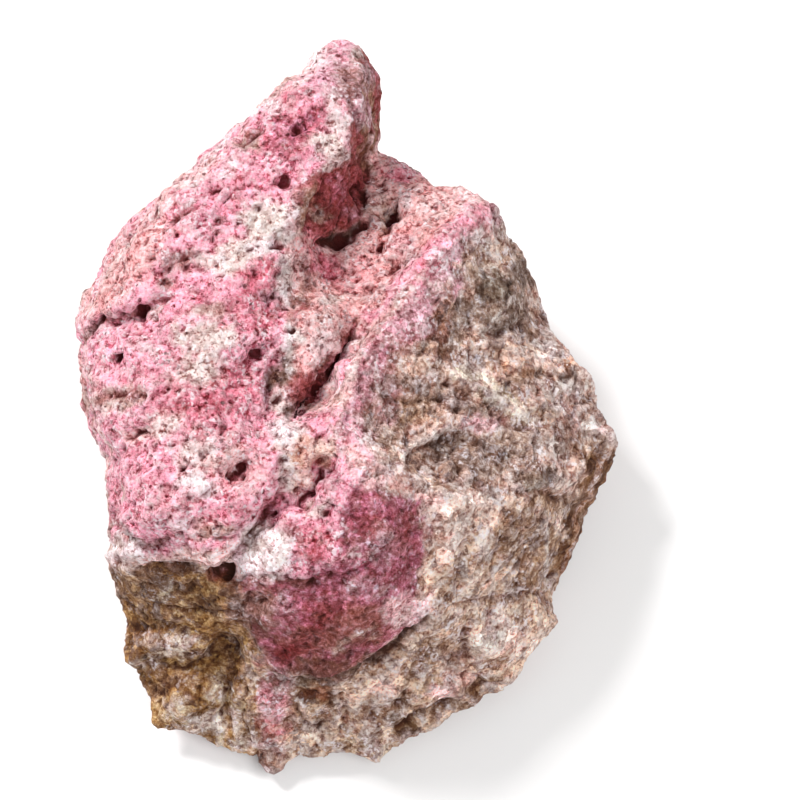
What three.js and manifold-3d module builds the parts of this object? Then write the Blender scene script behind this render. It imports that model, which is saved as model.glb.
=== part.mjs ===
// A hand-sized lump of thulite, the pink kind of massive zoisite, broken out of its brown country rock.
//
// Millimetres, +Z up. The lump lies on its flattest side, with its spire pointing along +Y. Pink porous
// crust covers the high slab and the spire on the -X side. A smoother pink bulge stands in front of the
// slab, and brown broken faces fall away from the pink ridge towards +X and towards the front.
//
// The form is given by the lines that can be felt on the lump: its brink, and the ridges, steps and
// hollows inside it. The lines are joined by triangles, the joined surface is divided finely, and then
// it is rounded and weathered. Last, the lump is cut flat where it rests.

import * as THREE from 'three';
import { ImprovedNoise } from 'three/addons/math/ImprovedNoise.js';
import { mergeVertices } from 'three/addons/utils/BufferGeometryUtils.js';
import Module from 'manifold-3d';

// ---- Driving dimensions, mm ----

const LEAN = THREE.MathUtils.degToRad(15); // looked at with this lean, no part of the top hides another
const BLOCK_BELOW = { width: 90, length: 120, depth: 20 }; // what the rest plane cuts away lies in it
const FAR = 1e4; // far outside the lump

const TOP_EDGE = 2.3; // longest triangle edge on the top
const UNDER_EDGE = 4.2; // longest triangle edge on the underside
const PIT_EDGE = 0.9; // longest triangle edge at a pit
const LINE_STEP = 2.2; // longest step between two points of a surface line
const SHORTEST_STEP = 0.8; // a step of the brink is not divided below this
const SAME_POINT = 0.4; // points of two lines that fall closer than this in plan are one point
const WAVER = 0.12; // how far a line wavers to each side of its straight steps
const WAVER_RATE = 2.3;

const CRUST_LUMPS = 1.1; // height of the lumps that weather out of the porous crust
const LUMP_SIZE = 4.5;
const RIB_LENGTH = 1.7; // a lump or chip is longer than wide by this factor
const CRUST_GRAINS = 0.6; // height of the grains on those lumps
const GRAIN_SIZE = 2.1;
const FACE_CHIPS = 0.8; // height of the chips on the broken faces
const CHIP_SIZE = 5.5;
const SHORT_SHARE = 0.45; // an edge shorter than this share of the longest allowed is drawn together
const LARGEST_TURN = THREE.MathUtils.degToRad(50); // no triangle turns by more than this as one is
const ROUNDING = 0.6; // how far the lines of the porous crust are rounded off, from 0 to 1
const SWELLING = 0.55; // how far they are then swelled back

// How porous each kind of surface is, from a clean break (0) to the pink crust (1)
const CRUST = 1;
const BULGE = 0.5;
const BRINK = 0.45;
const FLANK = 0.35;
const UNDERSIDE = 0.3;
const BREAK = 0.15;

// ---- Surface lines, each point [x, y, z] in mm ----

// The brink: the widest line round the lump, where the top turns over into the underside
const brink = [
  [-8, 42, 24], [-6.5, 41.5, 25], [-4.5, 41, 25], [-3, 39, 22], [-2.5, 38, 20], [-2.5, 36.5, 18],
  [-2.5, 34.5, 17], [-2.5, 32, 17], [-2.5, 30, 17.5], [0, 28.5, 18.5], [1.5, 28.5, 17.5],
  [2.5, 27, 17], [4, 26, 18], [5.5, 24.5, 20], [7, 24.5, 21], [8.5, 24, 22], [11, 22, 22],
  [12, 21, 20.5], [12.5, 19.5, 19], [14.5, 18.5, 17.5], [15, 17, 16], [16.5, 14, 13.5],
  [17.5, 10.5, 13], [18.5, 8.5, 14.5], [20, 6, 15.5], [22.5, 3.5, 15.5], [23, 2.5, 14], [23, 0.5, 12],
  [24, -1, 13.5], [25, -2.5, 13.5], [25.5, -4, 12.5], [25, -5.5, 10.5], [24.5, -6.5, 8.5],
  [23.5, -8.5, 6.5], [22.5, -10, 5], [22, -12, 4], [21, -14.5, 3], [20.5, -16.5, 2.5],
  [19.5, -18.5, 2.5], [18.5, -20, 2.5], [19, -22, 4], [18.5, -24, 5], [16.5, -26.5, 5],
  [15.5, -28.5, 5], [14.5, -30.5, 5], [13, -31.5, 4.5], [11.5, -32.5, 4], [9, -33.5, 4],
  [6.5, -35, 3.5], [4.5, -36.5, 3.5], [3, -37, 3], [1, -38.5, 3], [-0.5, -39.5, 3], [-2.5, -40.5, 3],
  [-6, -40, 3], [-9.5, -40, 3], [-12, -40, 3], [-14, -41.5, 2], [-16, -41.5, 2], [-17, -40, 2.5],
  [-20, -39.5, 3], [-21.5, -38.5, 3], [-23, -38, 3.5], [-26, -37.5, 4], [-29, -37, 4],
  [-30, -32.5, 5.5], [-31, -30.5, 6.5], [-32.5, -28, 7.5], [-32, -25, 9], [-33, -23, 11],
  [-33.5, -21, 12.5], [-34, -20, 14], [-34, -17, 15], [-34, -16, 16.5], [-33.5, -14, 18],
  [-34.5, -10, 18], [-34.5, -7.5, 15.5], [-35, -6, 17.5], [-36, -3.5, 14.5], [-36.5, -2, 16],
  [-37.5, -1, 17], [-37.5, 1.5, 16.5], [-38, 5, 20], [-38, 7.5, 19.5], [-38, 10.5, 18],
  [-37.5, 13, 17], [-36, 13, 19], [-35.5, 14.5, 18], [-35.5, 17, 17], [-34.5, 18.5, 17.5],
  [-32, 21, 20], [-28.5, 22.5, 24], [-26.5, 24.5, 24.5], [-24.5, 26.5, 22], [-23, 29, 20.5],
  [-20.5, 31, 21], [-18, 32, 24.5], [-16, 33, 27], [-13.5, 35.5, 26.5], [-11, 39, 24],
  [-9.5, 41, 23.5],
];

// The pink porous crust: slab, spire, terrace, tongue and groove
const crustLines = {
  backShoulder: [
    [-7.5, 39, 28], [-9, 36, 31], [-11.5, 33, 33], [-15, 29, 34], [-18.5, 25.5, 34.5],
    [-21.5, 22.5, 34.5], [-24.5, 20, 34], [-27.5, 17, 33.5], [-30.5, 14, 33], [-32.5, 11.5, 32],
    [-34, 8.5, 30.5], [-35, 5.5, 28.5], [-35, 2.5, 28.5], [-35, -1, 28], [-34.5, -4.5, 27.5],
    [-33, -8, 28], [-31.5, -11.5, 28.5], [-31.5, -15, 28], [-31, -17, 27.5]
  ],
  slabHigh: [
    [-11.5, 26, 34.5], [-15.5, 21.5, 35], [-20, 17, 35], [-24.5, 12, 35], [-28.5, 8.5, 34]
  ],
  slabCentre: [
    [-12.5, 19.5, 34.5], [-16, 16, 34], [-20, 12.5, 34], [-18, 8, 35], [-22, 3, 34], [-27, 2.5, 34.5],
    [-30.5, 0.5, 33.5]
  ],
  slabFront: [
    [-18, 1.5, 35], [-23, -2.5, 33.5], [-28.5, -4, 34], [-31, -6, 32.5], [-21, -6.5, 35],
    [-27, -8, 33], [-19, -9.5, 34.5], [-23, -11.5, 33], [-28, -13.5, 33.5]
  ],
  slabToe: [
    [-16.5, -13, 33.5], [-18, -15, 33.5], [-22.5, -16.5, 33.5], [-27, -17, 33], [-30, -15.5, 31]
  ],
  slabEdge: [
    [-12, 15, 33.5], [-13.5, 11.5, 33.5], [-14.5, 8.5, 33], [-15.5, 6, 33], [-15.5, 2.5, 33],
    [-15.5, -0.5, 32.5], [-16, -3, 32], [-15.5, -6, 32]
  ],
  stepLip: [
    [-35.5, 6, 27.5], [-33, 6.5, 31], [-30.5, 7, 32.5], [-26.5, 8, 34]
  ],
  stepFoot: [
    [-35.5, 5, 26], [-33.5, 5.5, 28.5], [-30, 6, 30.5], [-26, 7, 33]
  ],
  slabLip: [
    [-30.5, -18, 28], [-29.5, -19, 28], [-27, -20, 28.5], [-24.5, -20, 29.5], [-22, -21, 30],
    [-19.5, -21, 30], [-18, -20, 30.5], [-16.5, -18, 31.5], [-15, -16, 32], [-14, -14.5, 32.5]
  ],
  vein: [
    [-11.5, 14, 30.5], [-12, 10.5, 31], [-13, 6.5, 31.5], [-12.5, 3.5, 31.5], [-13, 0, 31],
    [-14, -2.5, 30.5], [-13.5, -5.5, 31], [-13, -8, 32.5]
  ],
  spireEdge: [
    [-6, 39, 28], [-4.5, 35.5, 30], [-4.5, 31.5, 32], [-5, 28.5, 33], [-6, 25.5, 33.5],
    [-7, 23.5, 33.5], [-9, 22.5, 34], [-10.5, 20, 34], [-11.5, 17.5, 34], [-12, 15, 33.5]
  ],
  spireFoot: [
    [-3.5, 34, 20.5], [-3.5, 31, 20], [-3.5, 28.5, 20], [-4, 25, 22], [-4.5, 22, 23.5],
    [-5.5, 19, 24.5], [-7.5, 17, 25], [-10, 16, 26.5], [-11, 15, 28]
  ],
  terraceBack: [
    [-2, 27.5, 20], [0, 25.5, 22], [2, 24, 22.5], [3.5, 22, 23.5], [5.5, 21.5, 23.5]
  ],
  terraceMiddle: [
    [-2.5, 24, 22], [-3, 21, 23.5], [-0.5, 17.5, 25], [-3.5, 15, 26], [-6.5, 12, 27], [-8.5, 10, 27.5]
  ],
  terraceFront: [
    [1.5, 18.5, 25.5], [0.5, 14.5, 27], [-1.5, 10.5, 27.5], [-4, 8, 28], [-7, 7.5, 28.5]
  ],
  tongueCrest: [
    [-9, 8, 30.5], [-9, 4.5, 31.5], [-10, 2, 32], [-11, -1, 32], [-12, -3, 31], [-12.5, -4, 30]
  ],
  tongueEdge: [
    [-6.5, 6, 29.5], [-7, 3.5, 30], [-8, 1, 30], [-9.5, -1, 29.5], [-11, -3, 28.5]
  ],
  grooveFloor: [
    [-4.5, 7, 28], [-5.5, 5, 26.5], [-6.5, 3, 25.5], [-8, 0.5, 24.5], [-9.5, -1.5, 24],
    [-11, -3.5, 24.5], [-12.5, -5, 26.5]
  ],
  grooveFlank: [
    [-3.5, 6, 29], [-5.5, 2.5, 28.5], [-7, -0.5, 28.5], [-8, -3, 28.5], [-10, -5.5, 29.5],
    [-11.5, -7.5, 31]
  ],
  pinkRidge: [
    [10, 21.5, 25], [7, 19.5, 27], [5, 16.5, 28.5], [3.5, 13.5, 29.5], [1.5, 10, 30.5], [-0.5, 7, 31],
    [-2.5, 4.5, 31.5], [-4.5, 1.5, 32], [-5.5, -1.5, 32.5], [-6.5, -4.5, 33], [-7, -7.5, 33.5],
    [-6, -10, 34], [-4.5, -12, 34], [-2.5, -13.5, 33.5]
  ],
  rustyHollow: [
    [-11.5, -10, 33], [-8.5, -10, 33], [-9.5, -12.5, 31.5], [-11, -14.5, 31], [-7.5, -14, 33],
    [-11, -17.5, 32], [-8.5, -17.5, 33]
  ],
  whiteLobe: [
    [-11.5, -17, 32], [-13.5, -19, 31], [-15, -21, 30], [-16, -22.5, 29], [-13.5, -22.5, 30],
    [-12, -24, 29]
  ],
  crevice: [
    [-13, -15, 30], [-15, -16.5, 28.5], [-16, -18.5, 28], [-17.5, -20, 27.5], [-18.5, -21.5, 27]
  ],
  ledge: [
    [-32.5, -17.5, 22], [-30.5, -20, 24], [-27.5, -20.5, 25], [-24, -21, 26.5], [-21, -22, 27]
  ],
};

// The pink bulge in front of the slab, undercut along its lip
const bulgeLines = {
  frontCrest: [
    [-33.5, -20.5, 19], [-31, -21.5, 21.5], [-28.5, -22, 23.5], [-25.5, -21.5, 25], [-23, -22, 25.5],
    [-21, -23, 25.5], [-18.5, -24, 25.5]
  ],
  bulgeTop: [
    [-6, -16.5, 33.5], [-3.5, -16.5, 33.5], [0, -16.5, 31.5], [2, -17.5, 29.5], [-2, -20.5, 31.5],
    [0.5, -22, 28], [-7, -21.5, 31.5], [-10.5, -21.5, 31], [-8, -24, 29.5], [-3.5, -24.5, 29]
  ],
  bulgeBrow: [
    [-18.5, -24, 25.5], [-15.5, -24.5, 27], [-12, -24.5, 28], [-8.5, -25, 28], [-5, -26, 27.5],
    [-1.5, -26.5, 26], [1, -26.5, 23.5]
  ],
  bulgeFace: [
    [-15, -28, 22.5], [-11.5, -29, 24], [-7.5, -29.5, 24], [-4, -29.5, 23.5], [-1, -28.5, 22.5]
  ],
  bulgeLip: [
    [-15, -31.5, 15], [-12, -33, 16], [-8, -33.5, 17], [-4.5, -32, 17.5], [-1, -29.5, 18.5],
    [1.5, -27, 20.5]
  ],
  bulgeFoot: [
    [-14.5, -32, 13], [-12, -33, 12], [-8, -33.5, 12], [-3.5, -32, 13], [-0.5, -29.5, 14.5],
    [3, -27.5, 17.5]
  ],
};

// The brown broken faces that fall from the pink crest to the +X side
const breakLines = {
  bulgeValley: [
    [3, -15.5, 28.5], [4, -18.5, 27], [3.5, -21.5, 25], [3, -24, 22.5], [3.5, -26, 19.5]
  ],
  faceCrest: [
    [-2.5, -13.5, 33.5], [-1, -13.5, 32], [1.5, -14, 30.5], [4, -14.5, 29], [8, -14.5, 27],
    [12, -13.5, 24], [16, -12, 21], [20, -10, 17.5], [23.5, -6, 13.5]
  ],
  faceUpper: [
    [0.5, 3.5, 30], [3.5, 7, 29], [7, 12, 26.5], [10, 17.5, 24]
  ],
  faceMiddle: [
    [-3, -2.5, 31], [-3, -7, 31.5], [0.5, -7, 28.5], [4.5, -3, 27], [8, 3.5, 25], [13, 10.5, 22],
    [13.5, 15.5, 20]
  ],
  faceStep: [
    [0, -10.5, 30], [3, -7, 28], [6.5, -4.5, 26.5]
  ],
  faceLower: [
    [3.5, -9.5, 26.5], [5.5, -8, 25], [9, -6, 24.5], [14, -5, 21.5], [14, 3.5, 21], [18, 3, 18],
    [18.5, -3, 18.5], [21.5, -1.5, 15.5]
  ],
  apronBrow: [
    [5, -18.5, 27], [8.5, -18.5, 24.5], [12.5, -17.5, 21], [16.5, -15, 17.5]
  ],
  apron: [
    [6.5, -22, 23.5], [10.5, -21.5, 19], [14.5, -19, 15], [6, -25, 19.5], [11.5, -23.5, 13.5]
  ],
  flankEdge: [
    [24, -5.5, 13], [22.5, -8.5, 12.5], [21, -11, 12], [20, -14, 10.5], [19, -16, 8], [18, -19, 5.5]
  ],
};

// The tan and olive-brown flank along the front
const flankLines = {
  lowerRidge: [
    [4.5, -27.5, 17.5], [2.5, -30, 14.5], [0.5, -33, 11], [-1, -35, 8.5]
  ],
  lowerValley: [
    [7.5, -26.5, 14.5], [6, -29, 12], [4.5, -32.5, 8.5]
  ],
  brightFacet: [
    [10, -25, 13.5], [15.5, -23, 9.5], [11.5, -28, 11], [9, -30.5, 10.5], [14, -29, 7.5], [17, -24, 8]
  ],
  lowerEdge: [
    [14.5, -28.5, 7], [12, -31, 7], [8, -32.5, 7], [6, -34, 6.5], [2, -35.5, 7], [-1, -37, 6.5]
  ],
  lowerFoot: [
    [12.5, -32, 4.5], [9.5, -33, 4], [5.5, -35, 4], [1.5, -36.5, 4]
  ],
  frontApron: [
    [-7, -34.5, 9.5], [-3.5, -33.5, 10.5], [-8, -37.5, 6], [-4.5, -38, 6], [-11.5, -36, 8],
    [-2.5, -39, 4]
  ],
  oliveUpper: [
    [-31.5, -23.5, 14.5], [-27.5, -24.5, 18.5], [-23.5, -25, 20.5], [-20, -26, 22]
  ],
  oliveMiddle: [
    [-30.5, -27, 11], [-26.5, -27.5, 14], [-23, -28.5, 14.5], [-21.5, -29, 11.5], [-19.5, -28.5, 12.5],
    [-17.5, -29, 17.5], [-16.5, -26, 23]
  ],
  oliveLedge: [
    [-30.5, -30, 9.5], [-27, -30.5, 10.5], [-23.5, -31, 10], [-21, -31.5, 9], [-18, -32, 11.5],
    [-16, -33, 11]
  ],
  oliveFoot: [
    [-29, -32.5, 6.5], [-26.5, -34.5, 8.5], [-23, -34, 9], [-21, -34.5, 6.5], [-18.5, -35, 9],
    [-16, -35.5, 9], [-13.5, -35.5, 9]
  ],
  toe: [
    [-28, -36, 5], [-24.5, -36.5, 6], [-20.5, -37.5, 5], [-17.5, -38, 6.5], [-14.5, -39, 5.5],
    [-15, -40.5, 3]
  ],
};

// The underside turns in at the waist and reaches just past the rest plane at the foot
const waist = [
  [-10, 36.5, 13], [-17.5, 31.5, 9], [-23, 24.5, 15], [-30, 19.5, 8], [-34.5, 10, 11], [-33, 2.5, 6],
  [-33.5, -7.5, 12], [-30.5, -15, 7], [-31, -23, 5], [-27.5, -31, 2.5], [-21, -35, 2],
  [-14, -37.5, 1.5], [-6, -37.5, 2], [3.5, -33.5, 2], [10.5, -29.5, 3], [15.5, -22.5, 2],
  [17.5, -16, 2.5], [19, -10.5, 5], [22.5, -3, 8], [19, 5, 5], [17.5, 9.5, 9], [12, 16.5, 6],
  [10.5, 22, 12], [3.5, 25.5, 7], [-1, 27, 10], [-4.5, 33, 9], [-5.5, 37.5, 15],
];
const foot = [
  [-17.5, 13.5, -1], [-10.5, 12, -1], [-3.5, 14.5, -1], [3.5, 5.5, -1], [7.5, -4, -1], [5.5, -15, -1],
  [0.5, -23, -1], [-6, -21, -1], [-12, -26, -1], [-19.5, -20.5, -1], [-23.5, -10.5, -1],
  [-21.5, 2, -1],
];

// Pits, each [x, y, z, radius, depth] in mm
const pits = [
  [-32, 0.5, 31.5, 1.1, 1.3], [-13, 21, 34.5, 1, 1.5], [-13.5, 13.5, 33.5, 1.1, 1.3],
  [-17, 26.5, 34.5, 1.2, 0.9], [-12, 27.5, 34, 0.9, 0.9], [-32, 16.5, 26, 1.1, 0.9],
  [-34, 6, 29.5, 0.9, 0.8], [-29.5, 6.5, 31.5, 1, 0.9], [-16.5, 0.5, 33.5, 1.4, 1.3],
  [-18, -13, 34, 1.7, 1.7], [-20, -8, 34.5, 1.1, 0.9], [-9, 18, 30.5, 1, 0.9],
  [-4.5, 23, 23.5, 1.1, 1.2], [-1, 20.5, 24, 1.2, 1.6], [-2.5, 16, 25.5, 1.1, 1.4],
  [-1, 13.5, 27, 1, 0.9], [-3.5, 10.5, 27.5, 1, 0.9], [-12, 4, 31.5, 0.9, 0.7],
  [-20, -23, 25.5, 1.8, 2.2], [-9, -12.5, 32, 1.4, 1.2], [-11, -15.5, 31, 1.2, 1.4],
  [-8, -17.5, 33, 1, 0.9], [-26.5, -15, 33, 1.3, 0.9], [-20.5, -29, 12, 1.7, 1.2],
];

// ---- Joining the lines into a surface ----

// A point of the surface, with how porous it is and the longest triangle edge wanted there
function surfacePoint(x, y, z, porous, edge) {
  return Object.assign(new THREE.Vector3(x, y, z), { porous, edge });
}

function between(a, b, t) {
  const { lerp } = THREE.MathUtils;
  return surfacePoint(0, 0, 0, lerp(a.porous, b.porous, t), lerp(a.edge, b.edge, t)).lerpVectors(a, b, t);
}

// The points of a line, with more put in so that no step is longer than LINE_STEP, all wavering a little
function stepped(coordinates, closed, porous, edge) {
  const points = coordinates.map(([x, y, z]) => surfacePoint(x, y, z, porous, edge));
  if (closed) points.push(points[0]);
  const line = [];
  for (let i = 1; i < points.length; i += 1) {
    const [a, b] = [points[i - 1], points[i]];
    const parts = Math.ceil(a.distanceTo(b) / LINE_STEP);
    for (let k = 0; k < parts; k += 1) line.push(between(a, b, k / parts));
  }
  if (!closed) line.push(points.at(-1));
  return line.map((point) => {
    const { x, y, z } = point;
    const wave = (turn) => WAVER * Math.sin(WAVER_RATE * (x + turn * y + z + turn));
    return point.add(new THREE.Vector3(wave(1), wave(2), wave(3)));
  });
}

// The points of a list without those that fall on an earlier one in plan
function distinct(points) {
  const kept = [];
  for (const point of points) {
    const [x, y] = plan(point);
    const isNew = kept.every((other) => Math.hypot(x - plan(other)[0], y - plan(other)[1]) > SAME_POINT);
    if (isNew) kept.push(point);
  }
  return kept;
}

function steppedLines(lines, porous) {
  return Object.values(lines).flatMap((line) => stepped(line, false, porous, TOP_EDGE));
}

// Where a point falls when the lump is looked at along its lean
function plan({ x, y, z }) {
  return [x, y + z * Math.tan(LEAN)];
}

// True where some other point lies inside the circle that spans the step from a to b
function crowded(a, b, others) {
  const [ax, ay] = plan(a);
  const [bx, by] = plan(b);
  return others.some((other) => {
    const [x, y] = plan(other);
    return (x - ax) * (x - bx) + (y - ay) * (y - by) < -1e-9;
  });
}

// Divides the steps of the brink until each is sure to be a triangle edge on both sides of it
function clearedBrink(line, others) {
  const all = line.concat(others);
  const cleared = line.flatMap((a, i) => {
    const b = line[(i + 1) % line.length];
    const divide = a.distanceTo(b) > SHORTEST_STEP && crowded(a, b, all);
    return divide ? [a, between(a, b, 0.5)] : [a];
  });
  return cleared.length === line.length ? line : clearedBrink(cleared, others);
}

// A triangle of the plan with the centre and squared radius of the circle through its corners
function circled(flat, a, b, c) {
  const [ax, ay] = flat[a];
  const [bx, by] = flat[b];
  const [cx, cy] = flat[c];
  const twice = 2 * (ax * (by - cy) + bx * (cy - ay) + cx * (ay - by));
  const [aa, bb, cc] = [ax * ax + ay * ay, bx * bx + by * by, cx * cx + cy * cy];
  const x = (aa * (by - cy) + bb * (cy - ay) + cc * (ay - by)) / twice;
  const y = (aa * (cx - bx) + bb * (ax - cx) + cc * (bx - ax)) / twice;
  return { corners: [a, b, c], x, y, reach: (x - ax) ** 2 + (y - ay) ** 2 };
}

// Delaunay triangles of the plan points: each new point clears the triangles whose circles hold it
function delaunay(planPoints) {
  const count = planPoints.length;
  const flat = planPoints.concat([[-FAR, -FAR], [FAR, -FAR], [0, FAR]]);
  let triangles = [circled(flat, count, count + 1, count + 2)];
  for (let p = 0; p < count; p += 1) {
    const [x, y] = flat[p];
    const opened = triangles.filter((t) => (x - t.x) ** 2 + (y - t.y) ** 2 < t.reach);
    const edges = new Map();
    for (const { corners: [a, b, c] } of opened) {
      for (const [from, to] of [[a, b], [b, c], [c, a]]) {
        if (!edges.delete(`${to},${from}`)) edges.set(`${from},${to}`, [from, to]);
      }
    }
    triangles = triangles.filter((t) => !opened.includes(t));
    for (const [from, to] of edges.values()) triangles.push(circled(flat, from, to, p));
  }
  return triangles.map(({ corners }) => corners).filter((corners) => Math.max(...corners) < count);
}

function isInside([x, y], outline) {
  let inside = false;
  outline.forEach(([ax, ay], i) => {
    const [bx, by] = outline[(i + 1) % outline.length];
    if ((ay > y) !== (by > y) && x < ax + ((y - ay) / (by - ay)) * (bx - ax)) inside = !inside;
  });
  return inside;
}

// The triangles within the brink over its own points and the inner ones, all turned the same way
function triangulated(rim, inner) {
  const flat = rim.concat(inner).map(plan);
  const outline = flat.slice(0, rim.length);
  return delaunay(flat).filter((corners) => {
    const x = corners.reduce((sum, corner) => sum + flat[corner][0], 0) / 3;
    const y = corners.reduce((sum, corner) => sum + flat[corner][1], 0) / 3;
    return isInside([x, y], outline);
  });
}

// The closed surface: the top and the underside, joined along the brink
function joinedSurface() {
  const top = distinct([
    ...steppedLines(crustLines, CRUST),
    ...steppedLines(bulgeLines, BULGE),
    ...steppedLines(breakLines, BREAK),
    ...steppedLines(flankLines, FLANK),
  ]);
  const under = [
    ...stepped(waist, true, UNDERSIDE, UNDER_EDGE),
    ...stepped(foot, true, UNDERSIDE, UNDER_EDGE),
  ];
  const rim = clearedBrink(stepped(brink, true, BRINK, TOP_EDGE), top.concat(under));
  const shift = (corner) => (corner < rim.length ? corner : corner + top.length);
  const topFaces = triangulated(rim, top);
  const underFaces = triangulated(rim, under).map(([a, b, c]) => [a, c, b].map(shift));
  return { points: [...rim, ...top, ...under], faces: topFaces.concat(underFaces) };
}

// ---- Dividing and weathering the surface ----

// How near the middle of a pit a point lies: 1 in the middle, 0 at its edge and outside
function inPit(point, [x, y, z, radius], margin = 0) {
  const distance = Math.hypot(point.x - x, point.y - y, point.z - z);
  return Math.max(0, 1 - distance / (radius + margin));
}

function longestAllowed(a, b) {
  const middle = between(a, b, 0.5);
  const margin = a.distanceTo(b) / 2;
  return pits.some((pit) => inPit(middle, pit, margin) > 0) ? PIT_EDGE : middle.edge;
}

function longestOf(edges, points) {
  const lengths = edges.map(([i, j]) => points[i].distanceTo(points[j]));
  return edges[lengths.indexOf(Math.max(...lengths))];
}

// Splits the triangle abc by the middles of its edges ab, bc and ca; -1 marks an edge that stays whole
function split([a, b, c], [ab, bc, ca]) {
  const divided = [ab, bc, ca].filter((middle) => middle >= 0).length;
  if (divided === 0) return [[a, b, c]];
  if (divided === 3) return [[a, ab, ca], [ab, b, bc], [ca, bc, c], [ab, bc, ca]];
  if (divided === 1 ? ab < 0 : ca >= 0) return split([b, c, a], [bc, ca, ab]);
  if (divided === 1) return [[a, ab, c], [ab, b, c]];
  return [[ab, b, bc], [a, ab, bc], [a, bc, c]];
}

// Divides the longest edge of each triangle, and the triangle on its other side, until none is too long
function refined({ points, faces }) {
  const all = [...points];
  const keyOf = (i, j) => (i < j ? `${i},${j}` : `${j},${i}`);
  let current = faces;
  for (;;) {
    const middles = new Map();
    for (const [a, b, c] of current) {
      const [i, j] = longestOf([[a, b], [b, c], [c, a]], all);
      const isLong = all[i].distanceTo(all[j]) > longestAllowed(all[i], all[j]);
      if (isLong && !middles.has(keyOf(i, j))) {
        middles.set(keyOf(i, j), all.push(between(all[i], all[j], 0.5)) - 1);
      }
    }
    if (middles.size === 0) return { points: all, faces: current };
    const middle = (i, j) => middles.get(keyOf(i, j)) ?? -1;
    current = current.flatMap((face) => {
      const [a, b, c] = face;
      return split(face, [middle(a, b), middle(b, c), middle(c, a)]);
    });
  }
}

// Draws the two ends of each very short edge together, shortest first, where the surface stays closed
function thinned({ points, faces }) {
  const all = [...points];
  const live = faces.map((face) => [...face]);
  const around = all.map(() => new Set());
  live.forEach((face) => face.forEach((corner) => around[corner].add(face)));
  const neighbours = (i) => new Set([...around[i]].flat().filter((corner) => corner !== i));
  for (const [i, j] of shortEdges(all, live)) {
    const nearI = neighbours(i);
    const shared = [...neighbours(j)].filter((corner) => nearI.has(corner));
    const joined = between(all[i], all[j], 0.5);
    const moved = [...around[i], ...around[j]].filter((face) => !(face.includes(i) && face.includes(j)));
    const turnsOver = moved.some((face) => {
      const after = face.map((corner) => (corner === i || corner === j ? joined : all[corner]));
      const before = face.map((corner) => all[corner]);
      return facing(...before).angleTo(facing(...after)) > LARGEST_TURN;
    });
    if (!nearI.has(j) || shared.length !== 2 || turnsOver) continue;
    all[i] = joined;
    for (const face of around[j]) {
      if (face.includes(i)) {
        face.forEach((corner) => around[corner].delete(face));
        face.length = 0;
      } else {
        face[face.indexOf(j)] = i;
        around[i].add(face);
      }
    }
    around[j].clear();
  }
  const kept = all.map((_, i) => i).filter((i) => around[i].size > 0);
  const place = new Map(kept.map((i, rank) => [i, rank]));
  const left = live.filter((face) => face.length === 3);
  return { points: kept.map((i) => all[i]), faces: left.map((face) => face.map((i) => place.get(i))) };
}

function shortEdges(points, faces) {
  const edges = faces.flatMap(([a, b, c]) => [[a, b], [b, c], [c, a]]).filter(([i, j]) => i < j);
  const length = ([i, j]) => points[i].distanceTo(points[j]);
  const isShort = ([i, j]) => length([i, j]) < SHORT_SHARE * longestAllowed(points[i], points[j]);
  return edges.filter(isShort).sort((one, other) => length(one) - length(other));
}

// The direction that triangle abc faces, as long as twice its area
function facing(a, b, c) {
  const ab = new THREE.Vector3().subVectors(b, a);
  return ab.cross(new THREE.Vector3().subVectors(c, a));
}

// Moves each point towards the middle of its neighbours by a share of the way, or away from it if negative
function relaxed({ points, faces }, share) {
  const sums = points.map(() => ({ middle: new THREE.Vector3(), count: 0 }));
  for (const [a, b, c] of faces) {
    for (const [here, next] of [[a, b], [b, c], [c, a]]) {
      sums[here].middle.add(points[next]);
      sums[here].count += 1;
    }
  }
  const moved = points.map(({ x, y, z, porous, edge }, i) => {
    const target = sums[i].middle.divideScalar(sums[i].count);
    return surfacePoint(x, y, z, porous, edge).lerp(target, share * porous);
  });
  return { points: moved, faces };
}

// Rounds off the lines of the porous crust, and swells the surface back so that the lump keeps its size
function rounded(surface) {
  return relaxed(relaxed(surface, ROUNDING), -SWELLING);
}

const noise = new ImprovedNoise();

// How far weathering lifts a point out of the surface, less what a pit takes away. Lumps and chips lie in
// short ribs that run from the spire down to the -X side.
function weathering(point) {
  const along = (point.x + point.y) / (RIB_LENGTH * Math.SQRT2);
  const across = (point.x - point.y) / Math.SQRT2;
  const at = (size) => noise.noise(along / size, across / size, point.z / size);
  const crust = CRUST_LUMPS * at(LUMP_SIZE) + CRUST_GRAINS * at(GRAIN_SIZE);
  const chips = FACE_CHIPS * at(CHIP_SIZE);
  const sunk = Math.max(...pits.map((pit) => pit[4] * Math.sqrt(inPit(point, pit))));
  return THREE.MathUtils.lerp(chips, crust, point.porous) - sunk;
}

// The direction out of the surface at each point
function outwards({ points, faces }) {
  const directions = points.map(() => new THREE.Vector3());
  for (const face of faces) {
    const normal = facing(...face.map((corner) => points[corner]));
    for (const corner of face) directions[corner].add(normal);
  }
  return directions.map((direction) => direction.normalize());
}

function weathered(surface) {
  const directions = outwards(surface);
  const points = surface.points.map((point, i) => {
    const moved = surfacePoint(point.x, point.y, point.z, point.porous, point.edge);
    return moved.addScaledVector(directions[i], weathering(point));
  });
  return { points, faces: surface.faces };
}

// ---- The solid ----

function solidFrom(wasm, vertices, triangles) {
  const mesh = new wasm.Mesh({
    numProp: 3,
    vertProperties: Float32Array.from(vertices),
    triVerts: Uint32Array.from(triangles),
  });
  return new wasm.Manifold(mesh);
}

// The block of space below the rest plane
function blockBelow(wasm) {
  const { width, length, depth } = BLOCK_BELOW;
  const box = new THREE.BoxGeometry(width, length, depth);
  box.translate(0, 0, -depth / 2);
  box.deleteAttribute('normal');
  box.deleteAttribute('uv');
  const merged = mergeVertices(box);
  return solidFrom(wasm, merged.attributes.position.array, merged.index.array);
}

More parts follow.
